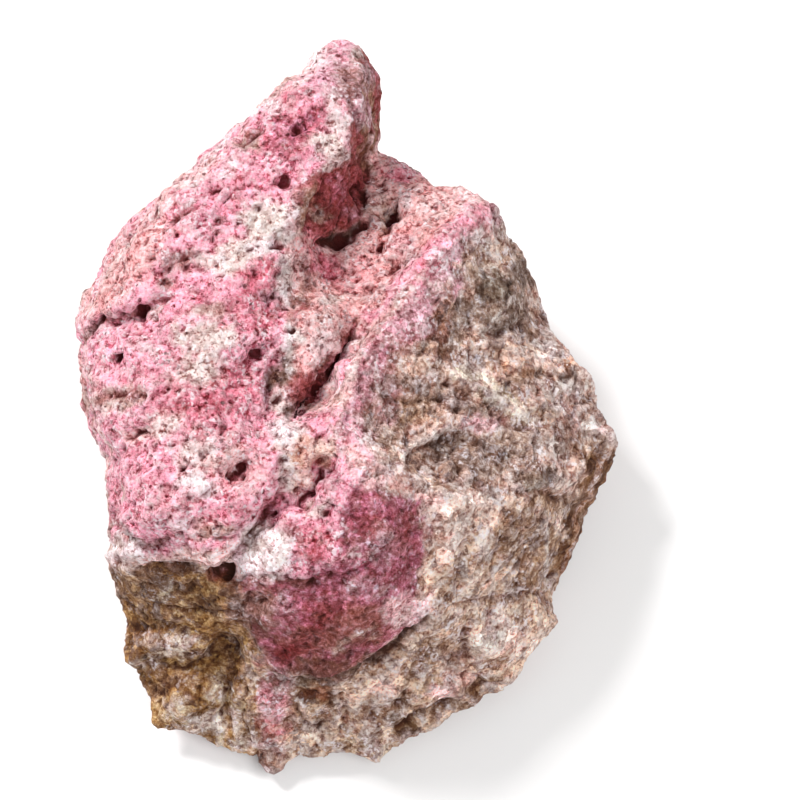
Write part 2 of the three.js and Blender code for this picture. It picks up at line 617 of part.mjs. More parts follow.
// The lump cut flat at the rest plane, with its origin under the middle of its bounding box
function rockGeometry(wasm) {
  const surface = weathered(rounded(thinned(refined(joinedSurface()))));
  const vertices = surface.points.flatMap(({ x, y, z }) => [x, y, z]);
  const rock = solidFrom(wasm, vertices, surface.faces.flat()).subtract(blockBelow(wasm));
  const { vertProperties, triVerts } = rock.getMesh();
  const geometry = new THREE.BufferGeometry();
  geometry.setAttribute('position', new THREE.BufferAttribute(vertProperties, 3));
  geometry.setIndex(new THREE.BufferAttribute(triVerts, 1));
  geometry.computeVertexNormals();
  geometry.computeBoundingBox();
  const middle = geometry.boundingBox.getCenter(new THREE.Vector3());
  geometry.translate(-middle.x, -middle.y, 0);
  return geometry;
}

const wasm = await Module();
wasm.setup();

const thuliteMaterial = new THREE.MeshStandardMaterial({
  color: 0xc08a85,
  roughness: 0.85,
  metalness: 0,
  flatShading: true,
});
const rock = new THREE.Mesh(rockGeometry(wasm), thuliteMaterial);
rock.name = 'thulite_rock';

const thulite = new THREE.Group();
thulite.add(rock);

export default thulite;
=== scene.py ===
"""A lump of thulite: a porous pink crust over grey-brown broken rock, lying on a pale floor."""

import itertools
import math

import bpy
import numpy as np
from mathutils import Matrix, Vector


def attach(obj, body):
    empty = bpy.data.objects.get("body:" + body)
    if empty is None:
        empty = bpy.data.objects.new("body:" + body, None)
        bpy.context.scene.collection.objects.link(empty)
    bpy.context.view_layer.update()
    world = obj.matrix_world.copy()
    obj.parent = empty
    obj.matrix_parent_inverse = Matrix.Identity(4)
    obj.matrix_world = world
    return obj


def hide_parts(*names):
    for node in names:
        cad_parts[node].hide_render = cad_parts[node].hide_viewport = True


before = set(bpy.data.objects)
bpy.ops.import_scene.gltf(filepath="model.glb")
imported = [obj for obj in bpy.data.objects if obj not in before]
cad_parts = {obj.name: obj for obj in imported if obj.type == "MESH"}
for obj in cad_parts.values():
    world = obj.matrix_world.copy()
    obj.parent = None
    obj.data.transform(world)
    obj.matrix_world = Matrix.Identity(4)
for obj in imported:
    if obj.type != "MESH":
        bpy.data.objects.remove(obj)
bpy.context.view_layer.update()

# The stone is worked on in millimetres, and the scene itself is in metres.
MM = 0.001

# --- The camera, and the plan that the markings are placed on: the upper side as the camera sees it, with x
# to the right and y down.
AIM = (6.452, -0.137, 16.0)
DISTANCE = 500.0
ELEVATION = math.radians(75)
SIGHT = np.array([0, -math.cos(ELEVATION), math.sin(ELEVATION)])
VIEW_HALF_WIDTH = 47.0
SENSOR = 36
PLAN_SIZE = 800
PLAN_UNIT = 2 * VIEW_HALF_WIDTH / PLAN_SIZE

# --- The light: name, place in mm, size in metres, power and colour.
LIGHTS = [
    ("key", (-420, 420, 620), .22, 7.7, (1, .98, .97)),
    ("top", (330, -340, 780), .5, 4.3, (1, 1, 1)),
]
WORLD_LIGHT = .50
FLOOR_HALF = .6
FLOOR_TONE = .90

# --- The mesh of the stone, in mm. Rounds of smoothing take the CAD's facets off, and each is followed by a
# step back, so that the stone doesn't shrink. Relief fades in between two heights above the rest face.
VOXEL = 0.41
WELD_WITHIN = .001
FACET_ROUNDS = 14
STEP_BACK = 1.04
RELIEF_STARTS = .5
RELIEF_IS_FULL = 2.0

# --- Colours of the stone's surface, as sRGB. Some also go on as painted shade and highlights; the last, a dark
# brown, is only used as painted shadow and as painted shade in holes.
COLOURS = {
    "pink": (246, 165, 188),
    "blush": (248, 204, 206),
    "salmon": (238, 174, 175),
    "rose": (216, 112, 132),
    "lilac": (222, 166, 184),
    "cream": (235, 215, 211),
    "white": (255, 242, 249),
    "shell": (252, 218, 206),
    "magenta": (172, 90, 108),
    "wine": (152, 70, 70),
    "brick": (142, 80, 74),
    "dark_wine": (110, 26, 28),
    "mauve": (188, 128, 142),
    "taupe": (188, 150, 138),
    "grey_brown": (150, 122, 110),
    "dark_grey": (110, 90, 80),
    "sage": (222, 208, 188),
    "tan": (232, 198, 180),
    "buff": (202, 166, 144),
    "brown": (160, 122, 98),
    "umber": (112, 74, 50),
    "olive": (150, 108, 66),
    "dark_olive": (118, 82, 46),
    "ochre": (222, 162, 130),
    "ash": (220, 208, 206),
    "chalk": (255, 246, 238),
    # Painted shadow, and painted shade in holes.
    "shadow_brown": (76, 58, 50),
}

# The colours that go on where the camera doesn't reach, in blotches: colour, noise at which it starts and is
# full, strength, and the noise itself.
HIDDEN_CRUST = [
    ("blush", -.2, .3, 1, [(1, 6, 45)]),
    ("salmon", 0, .5, 1, [(1, 7, 46)]),
    ("taupe", .25, .5, .8, [(1, 4, 47)]),
]
HIDDEN_ROCK = [
    ("mauve", -.25, .45, 1, [(1, 9, 41), (.4, 2.5, 42)]),
    ("tan", .25, .6, 1, [(1, 5, 43)]),
    ("brown", .2, .6, .7, [(1, 6, 44)]),
]

# --- In the material: how much darker and paler than their middle colour the grains are, in red, green and
# blue, the colour that the pores and hollows of the breaks and of the crust darken to, as dirt and as painted
# shade, and the height of the bump in mm.
DARKER = (.58, .48, .43)
PALER = (1.40, 1.48, 1.47)
DIRT_AND_SHADE_IN_BREAKS = (.060, .032, .018, 1)
DIRT_AND_SHADE_IN_CRUST = (.085, .012, .012, 1)
BUMP_HEIGHT = .82

# --- How marks waver on the plan: half the blend between two regions, how far wide and fine noise bend lines,
# the share of it that a streak gets, the bend of creases and holes, and the noise that makes edges ragged.
REGION_EDGE = 7
REGION_WAVER = 6
FINE_WAVER = 3.5
STREAK_WAVER = 1 / 3
RELIEF_WAVER = 3
RAGGED = [(.30, 1.7, 31), (.22, .75, 32)]
RAGGED_REACH = 8
ROCK_POROSITY = .3

# --- How marks fade out: where each starts and where it is full, in its own half-widths from its middle.
PATCH_FADE = (1.25, .55)
STREAK_FADE = (1.5, .4)
CALM_FADE = (1.2, .7)
CREASE_FADE = (1.6, .2)
HOLE_FADE = (1.15, .5)
CORNER_FADE = (1, .1)

# --- Relief of the crust, in mm: stretched granules, pores and noise.
GRANULE_TURN = np.array([[.8, -.45, 0], [.45, .8, 0], [0, 0, 1]])
GRANULE_STRETCH = (1, 1.35, 1)
GRANULE = 1.9
PORE_SPACING = 1.35
CRUST_NOISE = [(.50, 4.5, 57), (.26, 1.6, 52), (.20, .9, 53), (.14, .55, 55)]

# --- Relief of the breaks: splinters that are longer along RIB_WAY. Facets come in two layers, each with its
# size, seed, tilt, two factors that turn a facet, and the depth and width of the cracks.
RIB_WAY = np.array([.52, .80, .30])
RIB_STRETCH = 1.9
FACETS = [
    (3.2, 61, .48, (40, 90), .22, .12),
    (1.4, 65, .17, (50, 70), .06, .2),
]
BREAK_NOISE = [(.08, .6, 63), (.12, 1.1, 64)]

# --- Regions of the surface: colour, porosity (1 spongy crust, 0 clean break) and outline on the plan.
REGIONS = [
    ("pink", 1.0, [(60, 430), (60, 300), (130, 190), (300, 20), (350, 20), (352, 95), (352, 150),
                   (322, 165), (300, 190), (286, 215), (290, 250), (290, 300), (292, 340), (284, 372),
                   (276, 410), (300, 420), (296, 470), (262, 515), (238, 550), (150, 558), (90, 560)]),
    ("wine", .7, [(352, 95), (366, 40), (400, 60), (400, 155), (372, 160), (372, 200), (362, 225),
                  (330, 245), (300, 235), (288, 215), (300, 190), (322, 165), (352, 150)]),
    ("salmon", 1.0, [(372, 140), (420, 140), (440, 165), (520, 170), (500, 215), (450, 240), (420, 262),
                     (398, 300), (370, 325), (345, 345), (322, 400), (285, 425), (276, 410), (284, 372),
                     (292, 340), (290, 300), (290, 235), (330, 245), (362, 225), (372, 200)]),
    ("taupe", .25, [(455, 245), (500, 205), (560, 200), (640, 380), (640, 450), (600, 485), (560, 505),
                    (500, 495), (440, 486), (402, 470), (372, 445), (360, 410), (376, 360), (420, 320),
                    (448, 290)]),
    ("lilac", .45, [(475, 190), (510, 200), (500, 225), (464, 250), (462, 296), (438, 332), (390, 362),
                   (360, 410), (372, 445), (402, 470), (385, 490), (350, 478), (330, 445), (318, 420),
                   (335, 385), (350, 350), (375, 322), (398, 300), (420, 262), (450, 240)]),
    ("tan", .35, [(402, 470), (440, 486), (500, 495), (560, 505), (600, 485), (640, 450), (600, 590),
                  (560, 610), (470, 640), (430, 640), (423, 624), (417, 601), (421, 563), (432, 525),
                  (430, 499), (385, 490)]),
    ("magenta", .6, [(300, 420), (318, 420), (330, 445), (350, 478), (385, 490), (430, 499), (432, 525),
                     (421, 563), (417, 601), (423, 624), (395, 645), (365, 668), (330, 682), (295, 680),
                     (255, 665), (240, 580), (238, 550), (262, 515), (296, 470)]),
    ("pink", 1.0, [(296, 416), (322, 416), (336, 450), (352, 482), (345, 530), (338, 562), (300, 572),
                   (240, 576), (236, 552), (262, 515), (296, 470)]),
    ("white", .4, [(242, 532), (262, 520), (290, 536), (292, 566), (270, 576), (240, 572)]),
    ("blush", .4, [(70, 520), (120, 536), (150, 552), (238, 548), (240, 574), (180, 566), (90, 570)]),
    ("olive", .3, [(70, 568), (180, 565), (240, 574), (250, 640), (262, 690), (262, 790), (90, 790)]),
    ("buff", .35, [(262, 690), (255, 665), (295, 680), (330, 682), (365, 668), (395, 645), (423, 624),
                   (430, 640), (470, 640), (470, 700), (500, 800), (262, 800)]),
    ("tan", .35, [(470, 640), (560, 606), (620, 600), (600, 720), (480, 720), (470, 700)]),
]

# --- Markings over the regions: colour, centre x and y, half-width, half-height, degrees of turn, strength.
PATCHES = [
    # The upper-left border of the slab, with painted highlight along its lit upper-left edge.
    ("salmon", 128, 258, 66, 26, 45, .9), ("blush", 190, 172, 80, 14, 44, .7),
    ("blush", 300, 74, 50, 9, 43, .8), ("blush", 96, 296, 26, 8, 35, .6),
    ("salmon", 105, 300, 30, 14, 20, .8), ("blush", 86, 350, 8, 40, 0, .5),
    # The front of the spire.
    ("rose", 294, 132, 40, 24, 30, .9), ("magenta", 292, 130, 28, 14, 30, .7),
    ("rose", 290, 96, 22, 12, 10, .6), ("lilac", 342, 76, 34, 22, -10, .9), ("ash", 338, 118, 12, 42, 8, .6),
    ("ash", 342, 122, 12, 14, 0, .5), ("cream", 330, 146, 18, 12, -20, .9), ("mauve", 354, 80, 24, 18, 0, .9),
    ("magenta", 354, 88, 16, 14, 0, .6), ("grey_brown", 354, 84, 22, 20, 0, .6),
    ("wine", 357, 86, 16, 16, 0, .3), ("lilac", 346, 52, 16, 9, 0, .5), ("wine", 372, 56, 8, 10, 0, .5),
    ("ash", 332, 162, 14, 8, 40, .8), ("white", 272, 108, 12, 9, 30, .6), ("brown", 370, 112, 7, 34, 0, .8),
    ("taupe", 246, 142, 14, 9, 30, .9), ("pink", 300, 165, 26, 12, 20, .7),
    ("pink", 265, 165, 24, 12, 35, .6),
    # Pale patches of the slab.
    ("cream", 266, 226, 28, 24, 10, 1), ("cream", 242, 254, 26, 16, 10, .95),
    ("white", 262, 250, 20, 8, 0, .8), ("cream", 228, 262, 24, 12, 20, .7),
    ("cream", 206, 336, 30, 18, 10, .95), ("cream", 196, 372, 30, 20, 15, .95),
    ("cream", 160, 426, 24, 15, 10, .8), ("cream", 202, 452, 30, 26, 20, .75),
    ("white", 196, 484, 22, 14, 0, .9), ("cream", 290, 440, 18, 32, 0, .8),
    ("cream", 286, 470, 12, 26, 0, .7), ("white", 148, 350, 10, 8, 0, .6),
    ("cream", 110, 405, 26, 10, 10, .6), ("cream", 190, 182, 22, 8, 30, .5),
    ("white", 232, 168, 14, 10, 20, .5), ("cream", 290, 300, 10, 14, 0, .6),
    # Darker and redder patches of the slab.
    ("wine", 251, 136, 13, 5, 40, .8), ("rose", 246, 190, 18, 5, 10, .5), ("wine", 219, 220, 6, 5, 0, .8),
    ("wine", 128, 238, 4, 8, -30, .8), ("wine", 184, 256, 14, 8, 10, .35), ("wine", 112, 285, 9, 3, -15, .6),
    ("brown", 88, 408, 8, 20, 0, .7), ("magenta", 224, 403, 30, 9, 5, .5), ("brown", 180, 262, 26, 12, 5, .5),
    ("cream", 206, 262, 10, 8, 0, .5), ("brown", 164, 284, 14, 6, -20, .6), ("wine", 180, 214, 16, 6, 25, .7),
    ("taupe", 210, 310, 20, 8, 0, .8), ("rose", 258, 276, 22, 16, 0, .95), ("rose", 246, 300, 18, 14, 20, .8),
    ("rose", 262, 320, 18, 16, 0, .8), ("rose", 238, 384, 34, 22, 20, .75), ("rose", 212, 408, 40, 12, 0, .8),
    ("rose", 178, 392, 30, 12, -10, .6), ("taupe", 122, 398, 30, 12, 0, .8),
    ("taupe", 88, 385, 12, 22, 0, .6), ("blush", 176, 500, 26, 14, 0, .5), ("pink", 180, 502, 22, 16, 0, .5),
    ("rose", 226, 514, 26, 14, 10, .5), ("rose", 205, 430, 26, 10, 0, .6),
    ("salmon", 240, 470, 30, 30, 0, .5), ("taupe", 150, 312, 22, 5, 15, .6), ("wine", 122, 436, 14, 6, 0, .5),
    ("blush", 200, 530, 26, 10, 10, .8), ("blush", 240, 545, 24, 9, 20, .7),
    ("taupe", 218, 532, 24, 7, 5, .9), ("wine", 218, 532, 16, 4, 5, .4),
    # Painted shade in the large pit.
    ("dark_wine", 238, 471, 12, 6, 24, .95),
    # The vein down the slab's right side. The dark brown at 266, 296 and at 270, 392 is painted shade in
    # holes.
    ("ash", 287, 226, 9, 22, -8, .8), ("ash", 290, 262, 10, 14, 0, .7), ("ash", 284, 286, 10, 20, -5, .85),
    ("white", 282, 292, 6, 10, 0, .8), ("shadow_brown", 266, 296, 10, 7, 0, .5), ("rose", 290, 300, 10, 16, 0, .3),
    ("wine", 300, 306, 9, 15, 0, .9), ("dark_wine", 292, 300, 6, 8, 0, .6), ("umber", 276, 306, 6, 12, 0, .5),
    ("taupe", 306, 290, 12, 16, 0, .7), ("ash", 296, 336, 12, 10, 0, .9), ("white", 290, 342, 8, 12, 0, .7),
    ("ash", 288, 366, 8, 22, -14, .8), ("dark_grey", 276, 372, 10, 22, -8, .8),
    ("shadow_brown", 270, 392, 10, 14, 0, .6), ("ash", 280, 402, 8, 12, 0, .7), ("white", 282, 430, 20, 10, 0, .8),
    ("ash", 286, 474, 10, 18, 0, .6),
    # The dark wall right of the spire and the recess under it.
    ("dark_wine", 343, 202, 22, 32, -10, .4), ("dark_wine", 365, 185, 10, 30, 0, .4),
    ("rose", 338, 186, 10, 18, 15, .45), ("mauve", 352, 214, 9, 9, 0, .4), ("umber", 368, 150, 8, 26, 0, .7),
    ("taupe", 321, 214, 9, 8, 0, .8), ("brown", 306, 208, 10, 26, -20, .7), ("wine", 340, 165, 14, 14, 0, .6),
    ("wine", 324, 266, 12, 14, 0, .8),
    # The terraces.
    ("rose", 402, 170, 22, 14, 20, .9), ("white", 406, 200, 8, 8, 0, .8),
    ("taupe", 382, 206, 16, 20, -15, .6), ("brown", 384, 222, 8, 20, -15, .6),
    ("blush", 446, 208, 34, 16, 10, .6), ("blush", 462, 198, 30, 9, 0, .7),
    ("rose", 350, 272, 30, 20, 0, .35), ("rose", 330, 262, 16, 16, 0, .7), ("rose", 312, 246, 10, 16, 0, .6),
    ("cream", 332, 300, 16, 7, 0, .8), ("blush", 380, 300, 18, 14, 0, .5), ("wine", 372, 292, 16, 7, 10, .4),
    ("mauve", 406, 246, 18, 20, 0, .5), ("ash", 412, 260, 12, 9, 0, .5), ("lilac", 400, 278, 16, 10, 30, .6),
    # The tongue and the groove beside it; its dark reds and browns are painted shadow in the groove and under
    # the tongue.
    ("blush", 320, 348, 15, 26, -28, .9), ("white", 320, 346, 12, 18, -28, .35),
    ("wine", 306, 386, 12, 22, -30, .8), ("brick", 341, 350, 6, 30, -30, .9),
    ("wine", 318, 390, 8, 26, -37, .9), ("wine", 300, 390, 14, 22, -30, .8),
    ("umber", 284, 376, 9, 15, -20, .6), ("shadow_brown", 296, 408, 12, 8, 30, .8),
    ("cream", 330, 318, 12, 8, 20, .5),
    # The pink crest, and the purple band on its right.
    ("pink", 470, 226, 20, 26, -35, .9), ("rose", 440, 242, 10, 26, -35, .7),
    ("pink", 418, 272, 16, 30, -38, .8), ("rose", 426, 262, 10, 18, -35, .6),
    ("pink", 380, 316, 18, 18, 40, .8), ("pink", 352, 372, 12, 26, -20, .8),
    ("blush", 336, 398, 14, 14, 0, .8), ("pink", 330, 425, 18, 24, 0, .85),
    ("blush", 340, 440, 8, 20, 20, .3), ("pink", 346, 450, 12, 18, 20, .7),
    ("pink", 358, 466, 16, 20, 30, .9), ("blush", 372, 478, 12, 10, -30, .6),
    ("blush", 484, 232, 14, 12, 0, .5), ("mauve", 462, 236, 10, 14, 0, .5),
    ("mauve", 424, 292, 9, 24, -38, .2), ("mauve", 450, 300, 14, 34, -12, .7),
    ("grey_brown", 452, 328, 14, 24, 0, .7), ("wine", 446, 318, 14, 26, 0, .3),
    ("mauve", 402, 342, 28, 16, 25, .9), ("mauve", 384, 374, 16, 26, -15, .5),
    ("wine", 402, 346, 24, 8, 15, .35), ("magenta", 382, 352, 10, 20, -30, .5),
    ("wine", 398, 398, 24, 26, 0, .3), ("mauve", 368, 390, 14, 28, -20, .95),
    ("magenta", 352, 412, 9, 18, 0, .6), ("mauve", 372, 424, 12, 18, 0, .5),
    ("mauve", 488, 212, 14, 10, 0, .4),
    # The grey-brown face.
    ("tan", 488, 250, 30, 9, 10, .7), ("brown", 446, 302, 12, 28, -10, .6),
    ("wine", 438, 330, 16, 16, 0, .35), ("dark_grey", 524, 270, 15, 22, 10, .8),
    ("grey_brown", 480, 272, 30, 14, 10, .8), ("dark_grey", 498, 290, 26, 18, -20, 1),
    ("dark_grey", 478, 310, 20, 12, 0, .7), ("grey_brown", 510, 320, 26, 20, 0, .8),
    ("dark_grey", 486, 326, 16, 9, 0, .5), ("ash", 544, 348, 12, 8, 0, .8), ("ash", 554, 326, 8, 13, 30, .8),
    ("umber", 534, 336, 10, 7, 0, .5), ("tan", 500, 346, 34, 9, 0, .5), ("tan", 428, 370, 26, 10, 10, .6),
    ("brown", 424, 350, 34, 9, 5, .5), ("umber", 514, 378, 18, 8, 0, .5), ("umber", 568, 370, 18, 6, 0, .5),
    ("dark_grey", 512, 312, 24, 12, 20, .4), ("sage", 474, 380, 26, 8, -28, .9),
    ("sage", 506, 401, 24, 13, -42, 1), ("chalk", 522, 413, 15, 10, -40, .95),
    ("chalk", 478, 384, 26, 7, -28, .5), ("umber", 520, 376, 20, 5, 5, .6),
    ("ochre", 510, 366, 14, 5, -5, .7), ("brown", 542, 372, 24, 7, 0, .7), ("ash", 560, 388, 20, 11, 15, .95),
    ("ochre", 572, 362, 16, 6, 20, .5), ("dark_grey", 572, 374, 12, 6, 0, .5),
    ("grey_brown", 410, 396, 40, 22, 0, .7), ("umber", 404, 410, 30, 8, 0, .5),
    ("wine", 384, 412, 20, 24, 0, .3), ("brown", 396, 404, 26, 24, 0, .35),
    ("wine", 404, 380, 30, 18, 0, .25), ("grey_brown", 388, 424, 20, 26, 0, .8),
    ("brown", 410, 420, 20, 9, 0, .6), ("dark_grey", 476, 408, 26, 8, -10, .7),
    ("dark_grey", 448, 446, 26, 13, 25, .8), ("dark_grey", 508, 318, 7, 12, -35, .6),
    ("brown", 440, 318, 11, 26, 0, .5), ("grey_brown", 500, 440, 50, 22, 0, .8),
    ("dark_grey", 490, 458, 34, 18, 0, .4), ("dark_grey", 460, 330, 12, 24, 0, .4),
    ("grey_brown", 480, 462, 44, 16, 0, .9), ("buff", 540, 410, 26, 14, 0, .5),
    ("brown", 550, 412, 16, 8, 0, .6), ("ash", 594, 432, 14, 9, -30, .8), ("white", 600, 434, 11, 6, -30, .6),
    ("white", 556, 448, 13, 7, 10, .5), ("white", 560, 406, 12, 6, -20, .6),
    ("chalk", 560, 388, 14, 7, 0, .5), ("white", 550, 349, 7, 9, 0, .55),
    ("mauve", 388, 400, 12, 28, -10, .5), ("mauve", 486, 425, 22, 11, 0, .35),
    ("lilac", 430, 300, 14, 16, -30, .4), ("ash", 560, 448, 15, 10, 0, .7), ("ash", 558, 482, 7, 6, 0, .6),
    ("brown", 590, 445, 16, 14, 0, .5), ("dark_grey", 538, 478, 20, 11, 0, .9),
    ("dark_grey", 524, 456, 14, 9, 0, .5), ("grey_brown", 480, 484, 24, 8, 0, .5),
    ("umber", 545, 504, 18, 12, 0, .5), ("lilac", 482, 425, 20, 8, 0, .35), ("sage", 384, 462, 12, 8, 40, .4),
    # The apron below it and the right flank.
    ("blush", 404, 480, 26, 8, -28, .7), ("cream", 432, 506, 14, 14, 0, .6),
    ("cream", 456, 508, 38, 20, 5, .95), ("shell", 442, 516, 26, 18, 0, .5),
    ("blush", 444, 544, 14, 18, 0, .4), ("cream", 488, 524, 12, 8, 0, .6),
    ("brown", 503, 542, 13, 34, -10, .9), ("brown", 480, 560, 20, 20, 0, .5),
    ("grey_brown", 536, 550, 24, 36, -12, .8), ("brown", 545, 510, 30, 16, 0, .7),
    ("umber", 560, 500, 26, 10, -10, .6), ("brown", 546, 560, 24, 34, -12, .9),
    ("umber", 548, 556, 18, 32, -12, .4), ("umber", 600, 474, 20, 36, -24, 1),
    ("umber", 574, 546, 14, 46, -20, 1), ("umber", 582, 516, 12, 40, -20, .8),
    ("brown", 446, 592, 18, 20, 0, .4), ("cream", 432, 572, 10, 10, 0, .4),
    ("grey_brown", 480, 600, 30, 12, 10, .6), ("brown", 515, 590, 26, 10, 0, .7),
    ("ash", 484, 550, 12, 14, 0, .5), ("shell", 478, 512, 30, 16, 0, .6), ("brown", 460, 572, 8, 20, -10, .7),
    ("brown", 513, 520, 8, 14, 0, .7), ("umber", 512, 556, 8, 34, 0, .6), ("brown", 530, 560, 26, 40, 10, .5),
    ("brown", 450, 632, 24, 14, -30, .5),
    # The bulge.
    ("ochre", 312, 454, 22, 16, 0, .7), ("blush", 320, 450, 16, 12, 0, .85),
    ("ochre", 314, 452, 20, 14, 0, .35), ("white", 322, 450, 12, 9, 0, .3), ("tan", 300, 480, 14, 14, 0, .7),
    # The dark brown at 322, 474 is painted shade in a small hole.
    ("shadow_brown", 322, 474, 7, 6, 0, .4), ("pink", 345, 500, 10, 18, 0, .5), ("cream", 318, 508, 16, 8, 0, .8),
    ("rose", 314, 542, 26, 18, 0, .95), ("wine", 316, 548, 16, 10, 0, .4),
    ("magenta", 366, 516, 20, 26, 10, .95), ("magenta", 372, 500, 26, 12, 0, .7),
    ("mauve", 384, 548, 26, 18, 0, .7), ("wine", 404, 540, 14, 30, 0, .5),
    ("magenta", 402, 570, 14, 26, 0, .5), ("mauve", 370, 586, 30, 14, 0, .6),
    ("wine", 328, 602, 50, 12, 0, .3), ("dark_wine", 310, 632, 32, 16, 40, .6),
    ("brick", 352, 628, 50, 26, 15, .95), ("brick", 300, 645, 40, 22, 0, .8),
    ("wine", 296, 650, 22, 12, 0, .6), ("tan", 352, 640, 26, 5, 20, .3),
    ("dark_wine", 282, 650, 18, 12, 0, .6), ("umber", 322, 668, 50, 11, 8, .7),
    # The blush, pink and white at the nose of the bulge, near 405, 608, are a painted highlight.
    ("wine", 262, 604, 24, 20, 0, .8), ("umber", 262, 632, 18, 12, 0, .6), ("blush", 410, 608, 26, 15, 20, 1),
    ("pink", 400, 604, 20, 10, 20, .35), ("white", 412, 611, 18, 11, 20, .45),
    ("pink", 408, 610, 20, 12, 20, .4), ("grey_brown", 262, 606, 22, 18, 0, .6),
    ("mauve", 284, 606, 12, 16, 0, .5), ("taupe", 380, 530, 14, 12, 0, .25),
    ("wine", 366, 528, 9, 16, -15, .4), ("wine", 409, 520, 9, 20, -10, .6),
    ("magenta", 340, 570, 30, 10, 0, .4), ("white", 263, 550, 27, 27, 0, 1),
    ("lilac", 256, 552, 20, 20, 0, .4), ("white", 260, 552, 14, 14, 0, .5), ("ash", 282, 566, 8, 12, 0, .6),
    ("umber", 300, 580, 22, 5, 0, .6),
    # The ledge and the olive facet.
    ("white", 122, 548, 22, 16, 0, .9), ("lilac", 136, 552, 22, 9, 0, .3), ("blush", 180, 556, 50, 7, 3, .6),
    # Painted shadow: the umber just under the ledge's rim, here and at 140, 582; painted shade in the hole at
    # 222, 572.
    ("umber", 166, 568, 34, 7, 8, .7), ("dark_wine", 222, 572, 16, 10, 0, .7),
    ("brown", 130, 574, 24, 10, 0, .6), ("umber", 140, 582, 30, 8, 0, .6),
    ("grey_brown", 170, 596, 60, 22, 0, .25), ("brick", 236, 598, 20, 30, 0, .6),
    ("taupe", 240, 612, 14, 16, 0, .35), ("sage", 165, 592, 14, 6, 30, .45),
    ("dark_olive", 210, 600, 26, 20, 0, .7), ("dark_olive", 140, 620, 26, 12, 0, .5),
    ("tan", 152, 636, 10, 9, 0, .4), ("ash", 178, 646, 28, 12, 5, .4), ("white", 194, 643, 9, 5, 20, .25),
    ("dark_olive", 224, 648, 12, 20, 0, .4), ("dark_olive", 190, 662, 50, 8, 0, .6),
    ("umber", 230, 668, 6, 16, 0, .5), ("umber", 160, 688, 12, 9, 0, .8), ("sage", 176, 706, 14, 11, 20, .3),
    ("sage", 213, 688, 11, 15, 0, .6), ("sage", 198, 722, 20, 8, -10, .6), ("tan", 200, 724, 30, 8, 10, .5),
    ("dark_olive", 228, 694, 5, 26, 5, .5), ("sage", 236, 712, 5, 34, 8, .4),
    ("buff", 248, 690, 8, 46, 0, .5), ("brown", 258, 664, 12, 22, 0, .4), ("ash", 246, 740, 16, 10, 0, .4),
    # The streak down to the toe.
    ("mauve", 276, 700, 20, 34, 0, .9), ("rose", 268, 722, 14, 24, 0, .45),
    ("mauve", 268, 748, 18, 16, 0, .6), ("wine", 292, 720, 9, 30, 0, .4), ("wine", 272, 712, 18, 34, 0, .25),
    ("brown", 264, 756, 14, 8, 0, .7), ("mauve", 272, 770, 12, 10, 0, .7),
    # The rough rock below the bulge.
    ("umber", 318, 694, 28, 13, 0, 1), ("dark_wine", 318, 694, 20, 9, 0, .3),
    ("brown", 310, 716, 14, 16, 0, .5), ("tan", 356, 696, 20, 16, 0, .8), ("tan", 392, 680, 24, 14, -25, .8),
    ("blush", 380, 690, 14, 10, 0, .4), ("umber", 406, 700, 12, 10, 0, .6),
    ("brown", 430, 664, 12, 32, -28, .6), ("tan", 458, 662, 22, 15, 0, .2),
    ("mauve", 462, 676, 22, 14, 0, .4), ("blush", 444, 692, 22, 10, 0, .95), ("ash", 318, 736, 14, 12, 0, .4),
    # The dark brown at 314, 728 is painted shade in a small hole.
    ("shadow_brown", 314, 728, 4, 6, 0, .7), ("umber", 344, 730, 20, 6, 0, .4),
    ("dark_olive", 402, 724, 18, 7, -20, .8), ("sage", 376, 748, 14, 10, 20, .7),
    ("dark_olive", 362, 742, 14, 10, 0, .4), ("dark_olive", 344, 744, 24, 7, 0, .4),
    ("tan", 360, 722, 26, 10, 0, .35), ("brown", 482, 690, 20, 10, -10, .8),
    ("umber", 484, 684, 20, 6, 15, .9),
    # The pale facet at the lower right.
    ("shell", 500, 638, 36, 22, 25, .95), ("chalk", 487, 640, 16, 11, 0, .8),
    ("chalk", 520, 612, 14, 9, 30, .6), ("buff", 534, 616, 28, 13, 0, .7),
    ("white", 500, 622, 20, 8, -10, .4), ("buff", 505, 668, 24, 8, -20, .5),
    ("cream", 540, 640, 12, 20, -30, .4),
    # Last touches over the patches above.
    ("brick", 291, 530, 9, 14, 10, .45), ("wine", 268, 578, 15, 7, 0, .4),
    ("magenta", 332, 484, 14, 10, 0, .45), ("brown", 484, 363, 18, 7, -28, .6),
    ("white", 477, 240, 14, 9, 0, .5), ("pink", 186, 530, 16, 9, 0, .7), ("brown", 479, 542, 12, 13, 0, .5),
    ("brown", 466, 617, 14, 10, 0, .6), ("brown", 500, 603, 18, 8, -10, .6),
    ("lilac", 360, 112, 8, 16, 0, .7), ("mauve", 352, 400, 10, 14, -20, .6), ("sage", 144, 664, 11, 9, 0, .6),
    ("blush", 134, 435, 16, 8, 0, .7), ("blush", 234, 456, 14, 8, 0, .7), ("rose", 172, 366, 14, 9, 0, .35),
    ("umber", 359, 673, 14, 9, -20, .45), ("blush", 324, 394, 7, 20, -33, .8),
    ("blush", 350, 347, 6, 14, -30, .8), ("pink", 337, 372, 6, 16, -30, .7),
    # The umber at 331, 360 is painted shadow in the groove beside the tongue.
    ("umber", 331, 360, 6, 16, -33, .7), ("white", 186, 528, 14, 9, 0, .5),
    ("umber", 484, 361, 16, 6, -28, .4), ("white", 477, 240, 13, 9, 0, .6),
    ("brick", 287, 536, 9, 13, 10, .4), ("wine", 266, 576, 14, 7, 0, .4),
    ("magenta", 350, 397, 9, 14, -20, .4), ("mauve", 368, 443, 12, 11, 0, .6),
    ("magenta", 331, 482, 12, 9, 0, .3), ("olive", 173, 641, 13, 6, 0, .45),
